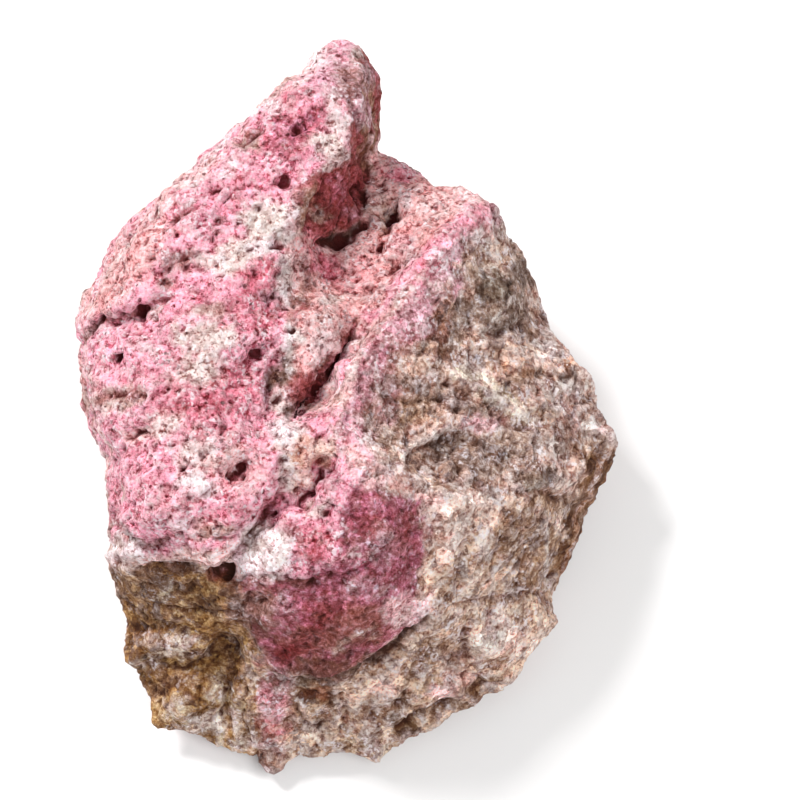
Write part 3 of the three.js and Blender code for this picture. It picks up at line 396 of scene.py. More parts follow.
    ("rose", 160, 304, 16, 7, -20, .5), ("umber", 310, 711, 12, 9, 0, .4), ("salmon", 375, 192, 7, 13, 0, .6),
    ("umber", 499, 602, 16, 7, -10, .3), ("mauve", 289, 221, 8, 15, 0, .5), ("blush", 299, 265, 8, 14, 0, .6),
    ("pink", 319, 396, 6, 14, -33, .6), ("rose", 159, 408, 14, 7, 0, .45), ("blush", 230, 463, 12, 8, 0, .6),
    ("umber", 414, 631, 12, 6, -35, .45), ("blush", 136, 438, 14, 7, 0, .5),
    ("pink", 351, 558, 14, 9, 0, .45), ("white", 263, 548, 14, 12, 0, .5),
    # The blush at 400, 607 is part of the painted highlight on the nose of the bulge.
    ("blush", 400, 607, 14, 9, -35, .6), ("shell", 322, 450, 13, 10, 0, .55),
    ("ochre", 320, 453, 8, 7, 0, .3), ("grey_brown", 290, 302, 9, 12, 0, .3),
    ("ash", 215, 720, 16, 12, 0, .4), ("buff", 370, 745, 14, 9, 0, .4), ("taupe", 455, 660, 18, 14, 0, .5),
    ("ash", 500, 640, 18, 14, 0, .35),
]

# --- Narrow marks along a line: colour, half-width, strength, points.
STREAKS = [
    # Painted shadow under the step on the slab's left side.
    ("umber", 4, .7, [(80, 343), (92, 330), (104, 319)]),
    ("wine", 4, .7, [(104, 319), (122, 317), (140, 311), (158, 302), (172, 297)]),
    # Painted highlight along the lit upper-left edge of the slab.
    ("white", 10, .8, [(316, 56), (280, 84), (240, 118), (196, 160)]),
    ("magenta", 7, .6, [(322, 110), (306, 122), (292, 134), (282, 152)]),
    ("wine", 4, .6, [(102, 402), (120, 394), (142, 397)]),
    ("brown", 3, .6, [(118, 512), (113, 530), (112, 548)]),
    ("dark_wine", 4, .6, [(304, 258), (308, 280), (306, 302)]),
    ("pink", 9, .85, [(482, 214), (458, 232), (432, 260), (406, 290), (380, 318), (360, 346)]),
    ("blush", 5, .7, [(408, 292), (376, 324), (360, 346), (351, 376), (342, 402)]),
    ("blush", 8, .7, [(350, 452), (378, 474), (405, 486), (434, 498)]),
    ("tan", 3, .6, [(452, 264), (478, 266), (505, 262), (522, 254)]),
    ("ash", 2.5, .5, [(514, 298), (500, 314), (486, 334), (480, 346)]),
    ("tan", 3, .6, [(462, 345), (485, 349), (515, 346), (548, 352)]),
    ("umber", 4, .5, [(384, 398), (404, 402), (430, 400), (446, 398)]),
    ("cream", 3, .6, [(446, 562), (454, 542), (466, 520)]),
    ("ash", 2.5, .5, [(548, 520), (545, 550), (550, 588)]),
    ("tan", 3, .5, [(502, 572), (490, 584), (482, 596)]),
    ("umber", 4, .7, [(396, 730), (414, 718), (436, 708), (470, 701)]),
    ("umber", 5, .5, [(198, 600), (212, 620), (222, 642), (229, 664), (229, 688)]),
    ("dark_wine", 9, .5, [(336, 612), (318, 628), (302, 642), (284, 658)]),
    ("wine", 3, .5, [(112, 262), (128, 240), (146, 222), (160, 208)]),
    # Painted shade in the crack between the slab and the lobe.
    ("dark_wine", 3, .7, [(276, 502), (262, 518), (246, 540), (234, 556)]),
    # Painted shadow under the foot of the wall right of the spire.
    ("shadow_brown", 4, .9, [(360, 222), (346, 236), (328, 242)]),
    # Painted shadow in the groove beside the tongue.
    ("wine", 6, .9, [(354, 328), (341, 345), (331, 370), (318, 392), (300, 411)]),
    ("cream", 3, .9, [(402, 464), (404, 450), (424, 440), (450, 427)]),
    ("cream", 5, .6, [(366, 440), (384, 462), (412, 480), (440, 492)]),
    # Painted shadow under the lip of the bulge.
    ("shadow_brown", 2.5, .7, [(427, 618), (408, 634), (395, 646), (378, 659), (355, 671), (330, 680), (296, 684)]),
    ("umber", 3, .7, [(120, 524), (132, 540), (150, 546), (168, 542)]),
    ("sage", 3, .5, [(224, 690), (220, 716), (222, 744)]),
    ("umber", 4, .5, [(402, 700), (412, 668), (426, 640)]),
    ("tan", 3, .7, [(300, 700), (308, 716), (314, 730)]),
    ("ochre", 2, .4, [(604, 452), (588, 488), (574, 530), (560, 580)]),
]

# --- Fine relief along a line: depth in mm (a ridge is negative), half-width and points.
CREASES = [
    # The slab.
    (.45, 4, [(80, 343), (92, 330), (104, 319)]),
    (.3, 4, [(128, 315), (148, 308), (168, 298)]),
    (-.3, 5, [(90, 320), (112, 308), (140, 300), (160, 290)]),
    (.6, 4, [(162, 221), (180, 217), (196, 206)]),
    (-.4, 6, [(160, 208), (184, 196), (206, 184)]),
    (.5, 3, [(222, 204), (236, 190), (252, 184), (266, 190)]),
    (.4, 3, [(112, 262), (128, 240), (146, 222), (160, 208)]),
    (.6, 4, [(160, 274), (176, 262), (192, 256)]),
    (.5, 3, [(176, 250), (190, 262), (200, 270)]),
    (.4, 3, [(246, 362), (256, 352), (276, 344)]),
    (.4, 4, [(108, 396), (130, 390), (152, 396)]),
    (-.3, 5, [(150, 386), (176, 382), (198, 398)]),
    (.5, 3, [(128, 440), (140, 432), (150, 438)]),
    (.4, 3, [(172, 446), (186, 438), (200, 444)]),
    (.3, 2.5, [(165, 500), (169, 486)]),
    (.5, 3, [(118, 512), (113, 530), (112, 548)]),
    (.9, 4, [(240, 142), (252, 136), (262, 127)]),
    (.2, 3, [(283, 494), (264, 518), (246, 540), (232, 558)]),
    (.5, 3, [(120, 524), (132, 540), (150, 546), (168, 542)]),
    (.4, 3, [(196, 536), (216, 540), (236, 536)]),
    # The spire and the recess.
    (.5, 3, [(352, 96), (360, 130), (362, 165)]),
    (.5, 3, [(352, 168), (350, 196), (340, 226)]),
    (.5, 3, [(368, 158), (366, 190), (360, 214)]),
    (.5, 3, [(326, 176), (316, 200), (306, 228)]),
    (1., 4, [(322, 242), (336, 244), (352, 236), (366, 222)]),
    (.7, 3, [(396, 204), (391, 218), (386, 232)]),
    # The tongue, the groove and the hollows below.
    (.5, 3, [(350, 332), (340, 352), (328, 374), (314, 390), (300, 404)]),
    (-.8, 5, [(354, 344), (346, 358), (338, 374), (327, 390), (314, 403), (300, 415)]),
    (-.4, 5, [(312, 406), (298, 414)]),
    (.5, 4, [(272, 356), (270, 380), (266, 398)]),
    (.8, 3, [(300, 505), (312, 488), (322, 470)]),
    (.5, 3, [(322, 520), (330, 508)]),
    # The grey-brown face: steps, a ring and a small crack.
    (.3, 3, [(408, 464), (412, 452), (430, 446), (456, 434)]),
    (-.3, 4, [(402, 464), (404, 449), (424, 439), (450, 426)]),
    (.5, 4, [(446, 386), (480, 402), (512, 426), (528, 430)]),
    (-.5, 5, [(452, 374), (484, 390), (520, 414), (540, 402)]),
    (.4, 3, [(460, 470), (452, 481), (442, 478), (440, 468)]),
    (-.4, 6, [(450, 468), (451, 470)]),
    (.4, 2, [(512, 282), (509, 298)]),
    (.5, 4, [(470, 330), (494, 334), (520, 326)]),
    (-.4, 5, [(470, 344), (500, 344), (530, 352)]),
    (.4, 4, [(505, 374), (535, 372), (570, 380)]),
    (.4, 4, [(560, 404), (580, 418), (596, 436)]),
    (.4, 4, [(470, 500), (500, 494), (540, 492), (566, 500)]),
    (-.3, 5, [(386, 456), (410, 476), (446, 492)]),
    (.4, 3, [(385, 394), (404, 402), (430, 402), (450, 396)]),
    # The apron.
    (.6, 4, [(468, 540), (458, 566), (462, 596)]),
    (-.4, 4, [(478, 545), (470, 572), (476, 596)]),
    (.5, 4, [(506, 512), (504, 540), (494, 572)]),
    (.5, 4, [(528, 520), (526, 552), (516, 586)]),
    (-.4, 4, [(546, 520), (540, 556), (532, 590)]),
    (.5, 4, [(580, 502), (562, 540), (546, 584)]),
    (.5, 4, [(440, 610), (470, 604), (500, 596), (540, 592)]),
    # The bulge, its lip and the rock under it.
    (-.5, 8, [(246, 558), (254, 546), (264, 536)]),
    (.4, 3, [(328, 578), (340, 584), (352, 574), (368, 566)]),
    (.4, 3, [(240, 576), (270, 578), (300, 584), (330, 578)]),
    (.7, 3, [(427, 618), (408, 634), (395, 646), (378, 659), (355, 671), (330, 680), (296, 680)]),
    (-.5, 6, [(440, 612), (424, 634), (402, 654), (392, 676)]),
    (.5, 6, [(432, 640), (420, 662), (410, 688), (398, 706)]),
    (-.4, 6, [(360, 688), (380, 676), (394, 690), (380, 704)]),
    (.5, 4, [(342, 694), (346, 712), (340, 730)]),
    (-.5, 6, [(430, 692), (452, 686), (474, 694)]),
    (.8, 4, [(398, 728), (420, 714), (440, 706), (454, 702)]),
    (-.5, 5, [(398, 736), (430, 722), (456, 712)]),
    (.7, 4, [(466, 676), (490, 686), (514, 680)]),
    (.6, 5, [(466, 632), (462, 650), (470, 668)]),
    (-.5, 7, [(478, 640), (492, 652), (508, 650)]),
    (-.6, 8, [(374, 748), (378, 750)]),
    (-.3, 3, [(300, 700), (308, 716), (314, 730)]),
    (.5, 3, [(306, 724), (316, 730), (324, 722)]),
    # The ledge and the olive facet.
    (-.5, 5, [(108, 556), (130, 552), (160, 556), (190, 556), (214, 556)]),
    (.7, 4, [(140, 570), (162, 564), (190, 566)]),
    (.4, 3, [(120, 598), (150, 606), (200, 612)]),
    (.5, 4, [(134, 628), (170, 626), (206, 636)]),
    (-.4, 6, [(150, 646), (180, 642), (200, 648)]),
    (.6, 4, [(130, 664), (150, 664), (182, 668), (216, 660)]),
    (-.6, 10, [(210, 682), (216, 696)]),
    (-.5, 9, [(172, 704), (180, 710)]),
    (.25, 7, [(198, 600), (212, 620), (222, 642), (229, 664), (229, 688)]),
    (-.4, 3, [(220, 690), (217, 716), (219, 744)]),
    (-.4, 3, [(236, 680), (234, 712), (238, 746)]),
    (.5, 3, [(244, 690), (242, 716), (248, 744)]),
    (.4, 3, [(245, 600), (252, 596), (262, 600)]),
    (.5, 3, [(258, 752), (272, 750), (286, 756)]),
]

# --- Smoother places: centre x and y, half-width and half-height, turn, share of the roughness taken away.
CALM = [
    (512, 646, 46, 24, 30, .65), (400, 352, 18, 62, -25, .5), (478, 384, 40, 12, -30, .5),
    (176, 706, 16, 12, 20, .5), (214, 688, 12, 16, 0, .5), (340, 110, 20, 50, 5, .4),
    (452, 530, 32, 42, 0, .45), (505, 290, 36, 40, 0, .4),
]

# --- Corners of the outline that the smoothed mesh lacks: x and y, radius, push to the right and down.
CORNERS = [
    (275, 768, 16, 0, 8), (263, 762, 10, -3, 1), (78, 326, 18, -3, 0), (104, 464, 14, 3, 0),
    (548, 313, 14, -3, 1), (508, 682, 26, 3, 5), (468, 706, 22, 2, 5), (612, 440, 30, 5, 0),
    (604, 476, 26, 6, 2), (576, 545, 34, 4, 1), (128, 660, 16, -3, 2), (152, 724, 18, -4, 1),
    (284, 82, 24, -3, -3), (256, 104, 26, -4, -6), (380, 136, 13, 4, 0), (322, 46, 11, 2, 3),
    (228, 132, 22, -2, -3), (168, 190, 18, -2, -3), (372, 756, 20, 0, 4), (594, 388, 18, 6, 0),
    (108, 538, 26, -5, 0), (540, 640, 24, 2, 2), (382, 116, 30, 2, 0), (208, 152, 20, -2, -2),
    (590, 500, 18, 6, 2), (344, 40, 16, 0, 3), (510, 686, 16, 2, 3), (452, 716, 18, -2, -3),
    (132, 664, 14, -2, 5), (146, 684, 16, -3, -1), (152, 712, 16, -2, 0), (122, 610, 24, -2, 0),
    (594, 410, 18, 3, -2), (560, 346, 24, 2, -1), (372, 52, 16, -2, 1), (412, 164, 18, -1, 2),
    (544, 300, 20, -3, 0), (90, 430, 20, -2, 0),
]

# --- Small holes: x and y, radius and depth in mm.
HOLES = [
    (457, 409, 6, .8), (407, 445, 5, .7), (118, 360, 5, 1), (103, 319, 5, .5), (140, 312, 6, .3),
    (127, 239, 5, 1), (285, 183, 6, .5), (284, 248, 6, .5), (295, 130, 5, .6), (320, 215, 4, .4),
    (362, 195, 5, .6), (379, 248, 5, .6), (392, 262, 5, .6), (371, 288, 5, .4), (293, 331, 5, .6),
    (222, 428, 4, .6), (243, 468, 6, .5), (238, 471, 6, .5), (232, 474, 5, .4), (166, 284, 5, .5),
    (322, 475, 4, .4), (314, 470, 3, .3), (327, 513, 4, .6), (224, 571, 10, 1.2), (214, 573, 7, .8),
    (278, 399, 5, .6), (219, 220, 5, .8), (252, 138, 5, .5), (188, 268, 4, .6), (171, 257, 5, .7),
    (198, 256, 4, .5), (404, 168, 3, .3), (390, 508, 3, .2), (314, 728, 3, .5), (307, 722, 3, .4),
    (226, 650, 10, .15), (163, 693, 6, .5), (270, 300, 5, .5), (256, 354, 6, .6), (140, 432, 5, .4),
    (184, 440, 4, .4), (282, 462, 5, .5), (390, 518, 3, .3), (412, 518, 4, .3),
]


def linear(colour):
    """The linear-light values of an sRGB colour."""
    c = np.array(colour) / 255
    return np.where(c <= .04045, c / 12.92, ((c + .055) / 1.055) ** 2.4)


def smoothstep(low, high, x):
    """Eases from 0 where x is `low` to 1 where it is `high`, in either direction."""
    t = np.clip((x - low) / (high - low), 0, 1)
    return t * t * (3 - 2 * t)


def hashed(cell, seed):
    """A steady random number from 0 to 1 for each whole-number cell."""
    c = (cell + 4096).astype(np.uint32)
    h = c[:, 0] * np.uint32(374761393) + c[:, 1] * np.uint32(668265263)
    h += c[:, 2] * np.uint32(2246822519) + np.uint32(seed * 97)
    h = (h ^ (h >> np.uint32(13))) * np.uint32(1274126177)
    h = (h ^ (h >> np.uint32(15))) * np.uint32(2654435761)
    return (h ^ (h >> np.uint32(16))) / 0xFFFFFFFF


SLOPES = np.array([s for s in itertools.product((-1, 0, 1), repeat=3) if sum(map(abs, s)) == 2])


def noise(points, size, seed):
    """Smooth noise from about -1 to 1, with features about `size` mm across."""
    p = points / size + seed * 7.31
    cell = np.floor(p).astype(int)
    f = p - cell
    s = f * f * f * (f * (f * 6 - 15) + 10)
    total = np.zeros(len(p))
    for corner in itertools.product((0, 1), repeat=3):
        slope = SLOPES[(hashed(cell + corner, seed) * 11.999).astype(int)]
        weight = np.prod(np.where(corner, s, 1 - s), axis=1)
        total += weight * (slope * (f - corner)).sum(axis=1)
    return total * 1.3


def noises(points, layers):
    """Noise of several sizes, added up. Each layer has its height, size and seed."""
    return sum(height * noise(points, size, seed) for height, size, seed in layers)


def noise_way(points, size, seeds):
    """A way to go at each point, with as many parts as there are seeds."""
    return np.stack([noise(points, size, seed) for seed in seeds], axis=1)


def cells(points, size, seed):
    """Distances to the two nearest scattered centres, a number for the nearest and the way from it."""
    p = points / size
    base = np.floor(p).astype(int)
    first = np.full(len(p), 9.)
    second = np.full(len(p), 9.)
    number = np.zeros(len(p))
    way = np.zeros((len(p), 3))
    for step in itertools.product((-1, 0, 1), repeat=3):
        cell = base + step
        centre = cell + np.stack([hashed(cell, seed + k) for k in range(3)], axis=1)
        distance = np.linalg.norm(p - centre, axis=1)
        nearer = distance < first
        second = np.where(nearer, first, np.minimum(second, distance))
        first = np.where(nearer, distance, first)
        number = np.where(nearer, hashed(cell, seed + 3), number)
        way = np.where(nearer[:, None], p - centre, way)
    return first, second, number, way


def plan_of(points):
    """Where each point of the stone lies on the plan of its upper side."""
    x, y, z = (points - AIM).T
    sine, cosine = math.sin(ELEVATION), math.cos(ELEVATION)
    up = y * sine + z * cosine
    near = DISTANCE / (DISTANCE - z * sine + y * cosine)
    middle = PLAN_SIZE / 2
    return np.stack([middle + x * near / PLAN_UNIT, middle - up * near / PLAN_UNIT], axis=1)


def distance_to_line(plan, line):
    nearest = np.full(len(plan), 1e9)
    for a, b in zip(line, line[1:]):
        a, b = np.array(a, float), np.array(b, float)
        along = np.clip((plan - a) @ (b - a) / ((b - a) @ (b - a)), 0, 1)
        nearest = np.minimum(nearest, np.linalg.norm(plan - a - along[:, None] * (b - a), axis=1))
    return nearest


def depth_inside(plan, outline):
    """Distance from the outline: positive inside it and negative outside."""
    inside = np.zeros(len(plan), bool)
    x, y = plan.T
    for (ax, ay), (bx, by) in zip(outline, outline[1:] + outline[:1]):
        crosses = (ay > y) != (by > y)
        inside ^= crosses & (x < ax + (y - ay) / ((by - ay) or 1) * (bx - ax))
    away = distance_to_line(plan, outline + outline[:1])
    return np.where(inside, away, -away)


def from_centre(plan, x, y, half_width, half_height, turn):
    """How far out each point lies from the middle of a turned ellipse: 1 on its edge."""
    angle = math.radians(turn)
    right, down = (plan - (x, y)).T
    across = (right * math.cos(angle) - down * math.sin(angle)) / half_width
    along = (right * math.sin(angle) + down * math.cos(angle)) / half_height
    return np.hypot(across, along)


def rows_of(items, key, columns, kind=float):
    """A mesh's own values as rows."""
    flat = np.empty(len(items) * columns, kind)
    items.foreach_get(key, flat)
    return flat.reshape(-1, columns)


def place(mesh, points):
    mesh.vertices.foreach_set("co", points.ravel())
    mesh.update()


def averaged(values, ends, rounds):
    """Values smoothed over each vertex's neighbours."""
    count = len(values)
    a, b = ends.T
    links = np.bincount(a, minlength=count) + np.bincount(b, minlength=count)
    for _ in range(rounds):
        columns = values.reshape(count, -1).T
        totals = [np.bincount(a, c[b], count) + np.bincount(b, c[a], count) for c in columns]
        values = ((np.stack(totals, axis=1) / links[:, None]).reshape(values.shape) + values) / 2
    return values


def add_to_scene(name, data):
    thing = bpy.data.objects.new(name, data)
    bpy.context.scene.collection.objects.link(thing)
    return thing


def stone_mesh(node):
    """An even, smooth mesh of the CAD stone, in millimetres."""
    mesh = node.data.copy()
    mesh.transform(Matrix.Scale(1 / MM, 4))
    rough = add_to_scene("rough_stone", mesh)
    weld = rough.modifiers.new("weld", "WELD")
    weld.merge_threshold = WELD_WITHIN
    remesh = rough.modifiers.new("remesh", "REMESH")
    remesh.mode = "VOXEL"
    remesh.voxel_size = VOXEL
    evaluated = rough.evaluated_get(bpy.context.evaluated_depsgraph_get())
    even = bpy.data.meshes.new_from_object(evaluated)
    bpy.data.objects.remove(rough)
    bpy.data.meshes.remove(mesh)
    even.materials.clear()
    ends = rows_of(even.edges, "vertices", 2, int)
    points = rows_of(even.vertices, "co", 3)
    for _ in range(FACET_ROUNDS):
        points = averaged(points, ends, 1)
        points += STEP_BACK * (points - averaged(points, ends, 1))
    place(even, points)
    return even


def laid_over(colour, name, share):
    """The colour with a named one laid over it, by its share at each point."""
    return colour + share[:, None] * (linear(COLOURS[name]) - colour)


def mottled(points, name, layers=()):
    """A named colour with others laid over it in blotches."""
    colour = np.tile(linear(COLOURS[name]), (len(points), 1))
    for other, low, high, strength, sizes in layers:
        colour = laid_over(colour, other, strength * smoothstep(low, high, noises(points, sizes)))
    return colour


def painted(points, plan, facing):
    """The stone's colour at each vertex, with painted shade and highlights among its markings, and its
    porosity.
    """
    colour = mottled(points, "taupe")
    porous = np.full(len(points), ROCK_POROSITY)
    # Lines on the plan are bent by noise, so that no marking has a drawn edge.
    waver = REGION_WAVER * noise_way(points, 3.2, (21, 22)) + FINE_WAVER * noise_way(points, .9, (23, 24))
    bent = plan + waver
    ragged = noises(points, RAGGED)
    for name, porosity, outline in REGIONS:
        depth = depth_inside(bent, outline) + RAGGED_REACH * ragged
        share = smoothstep(-REGION_EDGE, REGION_EDGE, depth)
        colour = laid_over(colour, name, share)
        porous += share * (porosity - porous)
    for name, *ellipse, strength in PATCHES:
        away = from_centre(bent, *ellipse)
        colour = laid_over(colour, name, strength * smoothstep(*PATCH_FADE, away + ragged))
    bent = plan + STREAK_WAVER * waver
    for name, width, strength, line in STREAKS:
        away = distance_to_line(bent, line) / width
        colour = laid_over(colour, name, strength * smoothstep(*STREAK_FADE, away + ragged))

    # Where the camera doesn't reach, the plan would draw the markings out into stripes. The crust goes on
    # there in its own pinks, and the underside is broken rock.
    seen = facing @ SIGHT
    unseen_crust = smoothstep(.34, .12, seen) * smoothstep(.72, .9, porous)
    colour += unseen_crust[:, None] * (mottled(points, "pink", HIDDEN_CRUST) - colour)
    underside = smoothstep(.02, -.28, seen)
    colour += .8 * underside[:, None] * (mottled(points, "taupe", HIDDEN_ROCK) - colour)
    porous += underside * (ROCK_POROSITY - porous)
    return colour, porous


def crust_relief(points):
    """Rounded granules with creases between them, and scattered pores."""
    first, second, _, _ = cells(points @ GRANULE_TURN * GRANULE_STRETCH, GRANULE, 51)
    height = .26 * (.55 - first) + .08 * smoothstep(0, .3, second - first) + noises(points, CRUST_NOISE)
    first, _, number, _ = cells(points + .3 * noise(points, .8, 56)[:, None], PORE_SPACING, 54)
    radius = .12 + .30 * number
    depth = .15 + .50 * number
    return height - depth * smoothstep(radius, radius * .45, first) * (number > .30)


def break_relief(points):
    """Tilted facets and splinters with cracks between them, and fine grains."""
    along = points @ RIB_WAY
    ribbed = points - np.outer(along, RIB_WAY) * (1 - 1 / RIB_STRETCH)
    ribbed += .35 * noise_way(points, 1.3, (66, 67, 68))
    height = np.zeros(len(points))
    for size, seed, tilt, (flat, steep), crack, crack_width in FACETS:
        first, second, number, way = cells(ribbed, size, seed)
        slope = np.stack([np.cos(number * flat), np.sin(number * flat), np.cos(number * steep)], axis=1)
        height += tilt * (way * slope).sum(axis=1) - crack * smoothstep(crack_width, 0, second - first)
    return height + noises(points, BREAK_NOISE)


def relief(points, plan, porous):
    """How far each point stands proud of the smooth stone, in millimetres."""
    height = porous * crust_relief(points) + (1 - porous) * break_relief(points)
    for *ellipse, strength in CALM:
        height *= 1 - strength * smoothstep(*CALM_FADE, from_centre(plan, *ellipse))
    bent = plan + RELIEF_WAVER * noise_way(points, 1.6, (71, 72))
    for depth, width, line in CREASES:
        height -= depth * smoothstep(*CREASE_FADE, distance_to_line(bent, line) / width)
    for x, y, radius, depth in HOLES:
        away = np.linalg.norm(bent - (x, y), axis=1) / radius
        height -= depth * smoothstep(*HOLE_FADE, away)
    return height


def cornered(points, plan):
    """The points with the corners of the outline moved, square to the line of sight."""
    moved = points.copy()
    for x, y, radius, right, down in CORNERS:
        share = smoothstep(*CORNER_FADE, np.linalg.norm(plan - (x, y), axis=1) / radius)
        way = np.array([right, -down * math.sin(ELEVATION), -down * math.cos(ELEVATION)])
        moved += share[:, None] * way * PLAN_UNIT
    return moved


def point_attribute(mesh, name, kind, values):
    attribute = mesh.attributes.new(name, kind, "POINT")
    if kind == "FLOAT_COLOR":
        values = np.concatenate([values, np.ones((len(values), 1))], axis=1)
        attribute.data.foreach_set("color", values.ravel())
    else:
        attribute.data.foreach_set("value", values)


def build_stone(node):
    mesh = stone_mesh(node)
    points = rows_of(mesh.vertices, "co", 3)
    facing = rows_of(mesh.vertex_normals, "vector", 3)
    ends = rows_of(mesh.edges, "vertices", 2, int)
    plan = plan_of(points)
    colour, porous = painted(points, plan, averaged(facing, ends, 6))

    height = relief(points, plan, porous) * smoothstep(RELIEF_STARTS, RELIEF_IS_FULL, points[:, 2])
    moved = cornered(points, plan) + facing * height[:, None]
    moved[:, 2] = np.maximum(moved[:, 2], 0)
    place(mesh, moved)

    # Hollows at two scales, darkened in the material as dirt and as painted shade, and crests, paled as wear
    # and as painted highlight on the grains.
    facing = rows_of(mesh.vertex_normals, "vector", 3)
    fine = ((averaged(moved, ends, 4) - moved) * facing).sum(axis=1)
    broad = ((averaged(moved, ends, 40) - moved) * facing).sum(axis=1)
    hollow = smoothstep(.02, .20, fine) * .65 + smoothstep(.15, 1., broad) * .6
    point_attribute(mesh, "tint", "FLOAT_COLOR", colour)
    point_attribute(mesh, "porous", "FLOAT", porous)
    point_attribute(mesh, "hollow", "FLOAT", np.clip(hollow, 0, 1))
    point_attribute(mesh, "crest", "FLOAT", smoothstep(.02, .14, -fine))
    mesh.transform(Matrix.Scale(MM, 4))
    mesh.polygons.foreach_set("use_smooth", np.ones(len(mesh.polygons), bool))
    mesh.update()
    return add_to_scene("thulite_stone", mesh)


class Nodes:
    """A short way to write a material's node tree."""

    def __init__(self, name):
        self.material = bpy.data.materials.new(name)
        self.material.use_nodes = True
        self.tree = self.material.node_tree
        self.shader = self.tree.nodes["Principled BSDF"].inputs

    def add(self, kind, **settings):
        node = self.tree.nodes.new(kind)
        for key, value in settings.items():
            setattr(node, key, value)
        return node

    def fill(self, node, **values):
        """Sets a node's sockets by name, to numbers or to other sockets."""
        for key, value in values.items():
            self.link(value, node.inputs[key])
        return node

    def link(self, source, target):
        """Leads another socket, or a plain value, to a socket."""
        if hasattr(source, "links"):
            self.tree.links.new(source, target)
        else:
            target.default_value = source

    def attribute(self, name, output="Fac"):
        return self.add("ShaderNodeAttribute", attribute_name=name).outputs[output]

    def math(self, operation, a, b):
        node = self.add("ShaderNodeMath", operation=operation)
        self.link(a, node.inputs[0])
        self.link(b, node.inputs[1])
        return node.outputs[0]

    def plus(self, a, b):
        return self.math("ADD", a, b)

    def product(self, first, *others):
        for other in others:
            first = self.math("MULTIPLY", first, other)
        return first

    def mix(self, share, a, b, blend="MIX"):
        node = self.add("ShaderNodeMix", data_type="RGBA", blend_type=blend)
        self.link(share, node.inputs["Factor"])
        self.link(a, node.inputs[6])
        self.link(b, node.inputs[7])
        return node.outputs[2]

    def times(self, colour, factors):
        return self.mix(1., colour, (*factors, 1), "MULTIPLY")

    def gamma(self, colour, power):
        """The colour with each channel raised to a power: deeper above 1, paler below."""
        return self.fill(self.add("ShaderNodeGamma"), Color=colour, Gamma=power).outputs[0]

    def varied(self, share, colour, random):
        """The colour made darker and warmer where the random number is low, and paler where it is high."""
        factors = self.mix(self.ramp(random, .1, .9), (*DARKER, 1), (*PALER, 1))
        return self.mix(share, colour, self.mix(1., colour, factors, "MULTIPLY"))

    def ramp(self, value, low, high, to_low=0., to_high=1.):
        """The value led smoothly from one number at `low` to another at `high`."""
        node = self.add("ShaderNodeMapRange", interpolation_type="SMOOTHSTEP")
        for socket, source in zip(node.inputs, (value, low, high, to_low, to_high)):
            self.link(source, socket)
        return node.outputs[0]

    def place_on_stone(self):
        return self.add("ShaderNodeTexCoord").outputs["Object"]

    def noise(self, size, detail, roughness):
        node = self.add("ShaderNodeTexNoise")
        self.fill(node, Vector=self.place_on_stone(), Scale=1 / (size * MM))
        return self.fill(node, Detail=detail, Roughness=roughness).outputs

    def grain(self, size, detail=2., roughness=.5):
        """Noise around .5, with features about `size` mm across."""
        return self.noise(size, detail, roughness)["Fac"]

    def crystals(self, size, vector):
        """Distance from the middle of each crystal, and three random numbers for each."""
        node = self.fill(self.add("ShaderNodeTexVoronoi"), Vector=vector, Scale=1 / (size * MM))
        random = self.fill(self.add("ShaderNodeSeparateColor"), Color=node.outputs["Color"])
        return node.outputs["Distance"], list(random.outputs)

    def shaken(self, size, by):
        """The place on the stone, shifted by noise, so that crystals get ragged sides."""
        centred = self.add("ShaderNodeVectorMath", operation="SUBTRACT")
        self.link(self.noise(size, 3., .5)["Color"], centred.inputs[0])
        self.link((.5, .5, .5), centred.inputs[1])
        scaled = self.add("ShaderNodeVectorMath", operation="SCALE")
        self.link(centred.outputs[0], scaled.inputs[0])
        self.link(by * MM, scaled.inputs["Scale"])
        total = self.add("ShaderNodeVectorMath", operation="ADD")
        self.link(self.place_on_stone(), total.inputs[0])
        self.link(scaled.outputs[0], total.inputs[1])
        return total.outputs[0]


def rgba(name):
    return (*linear(COLOURS[name]), 1)


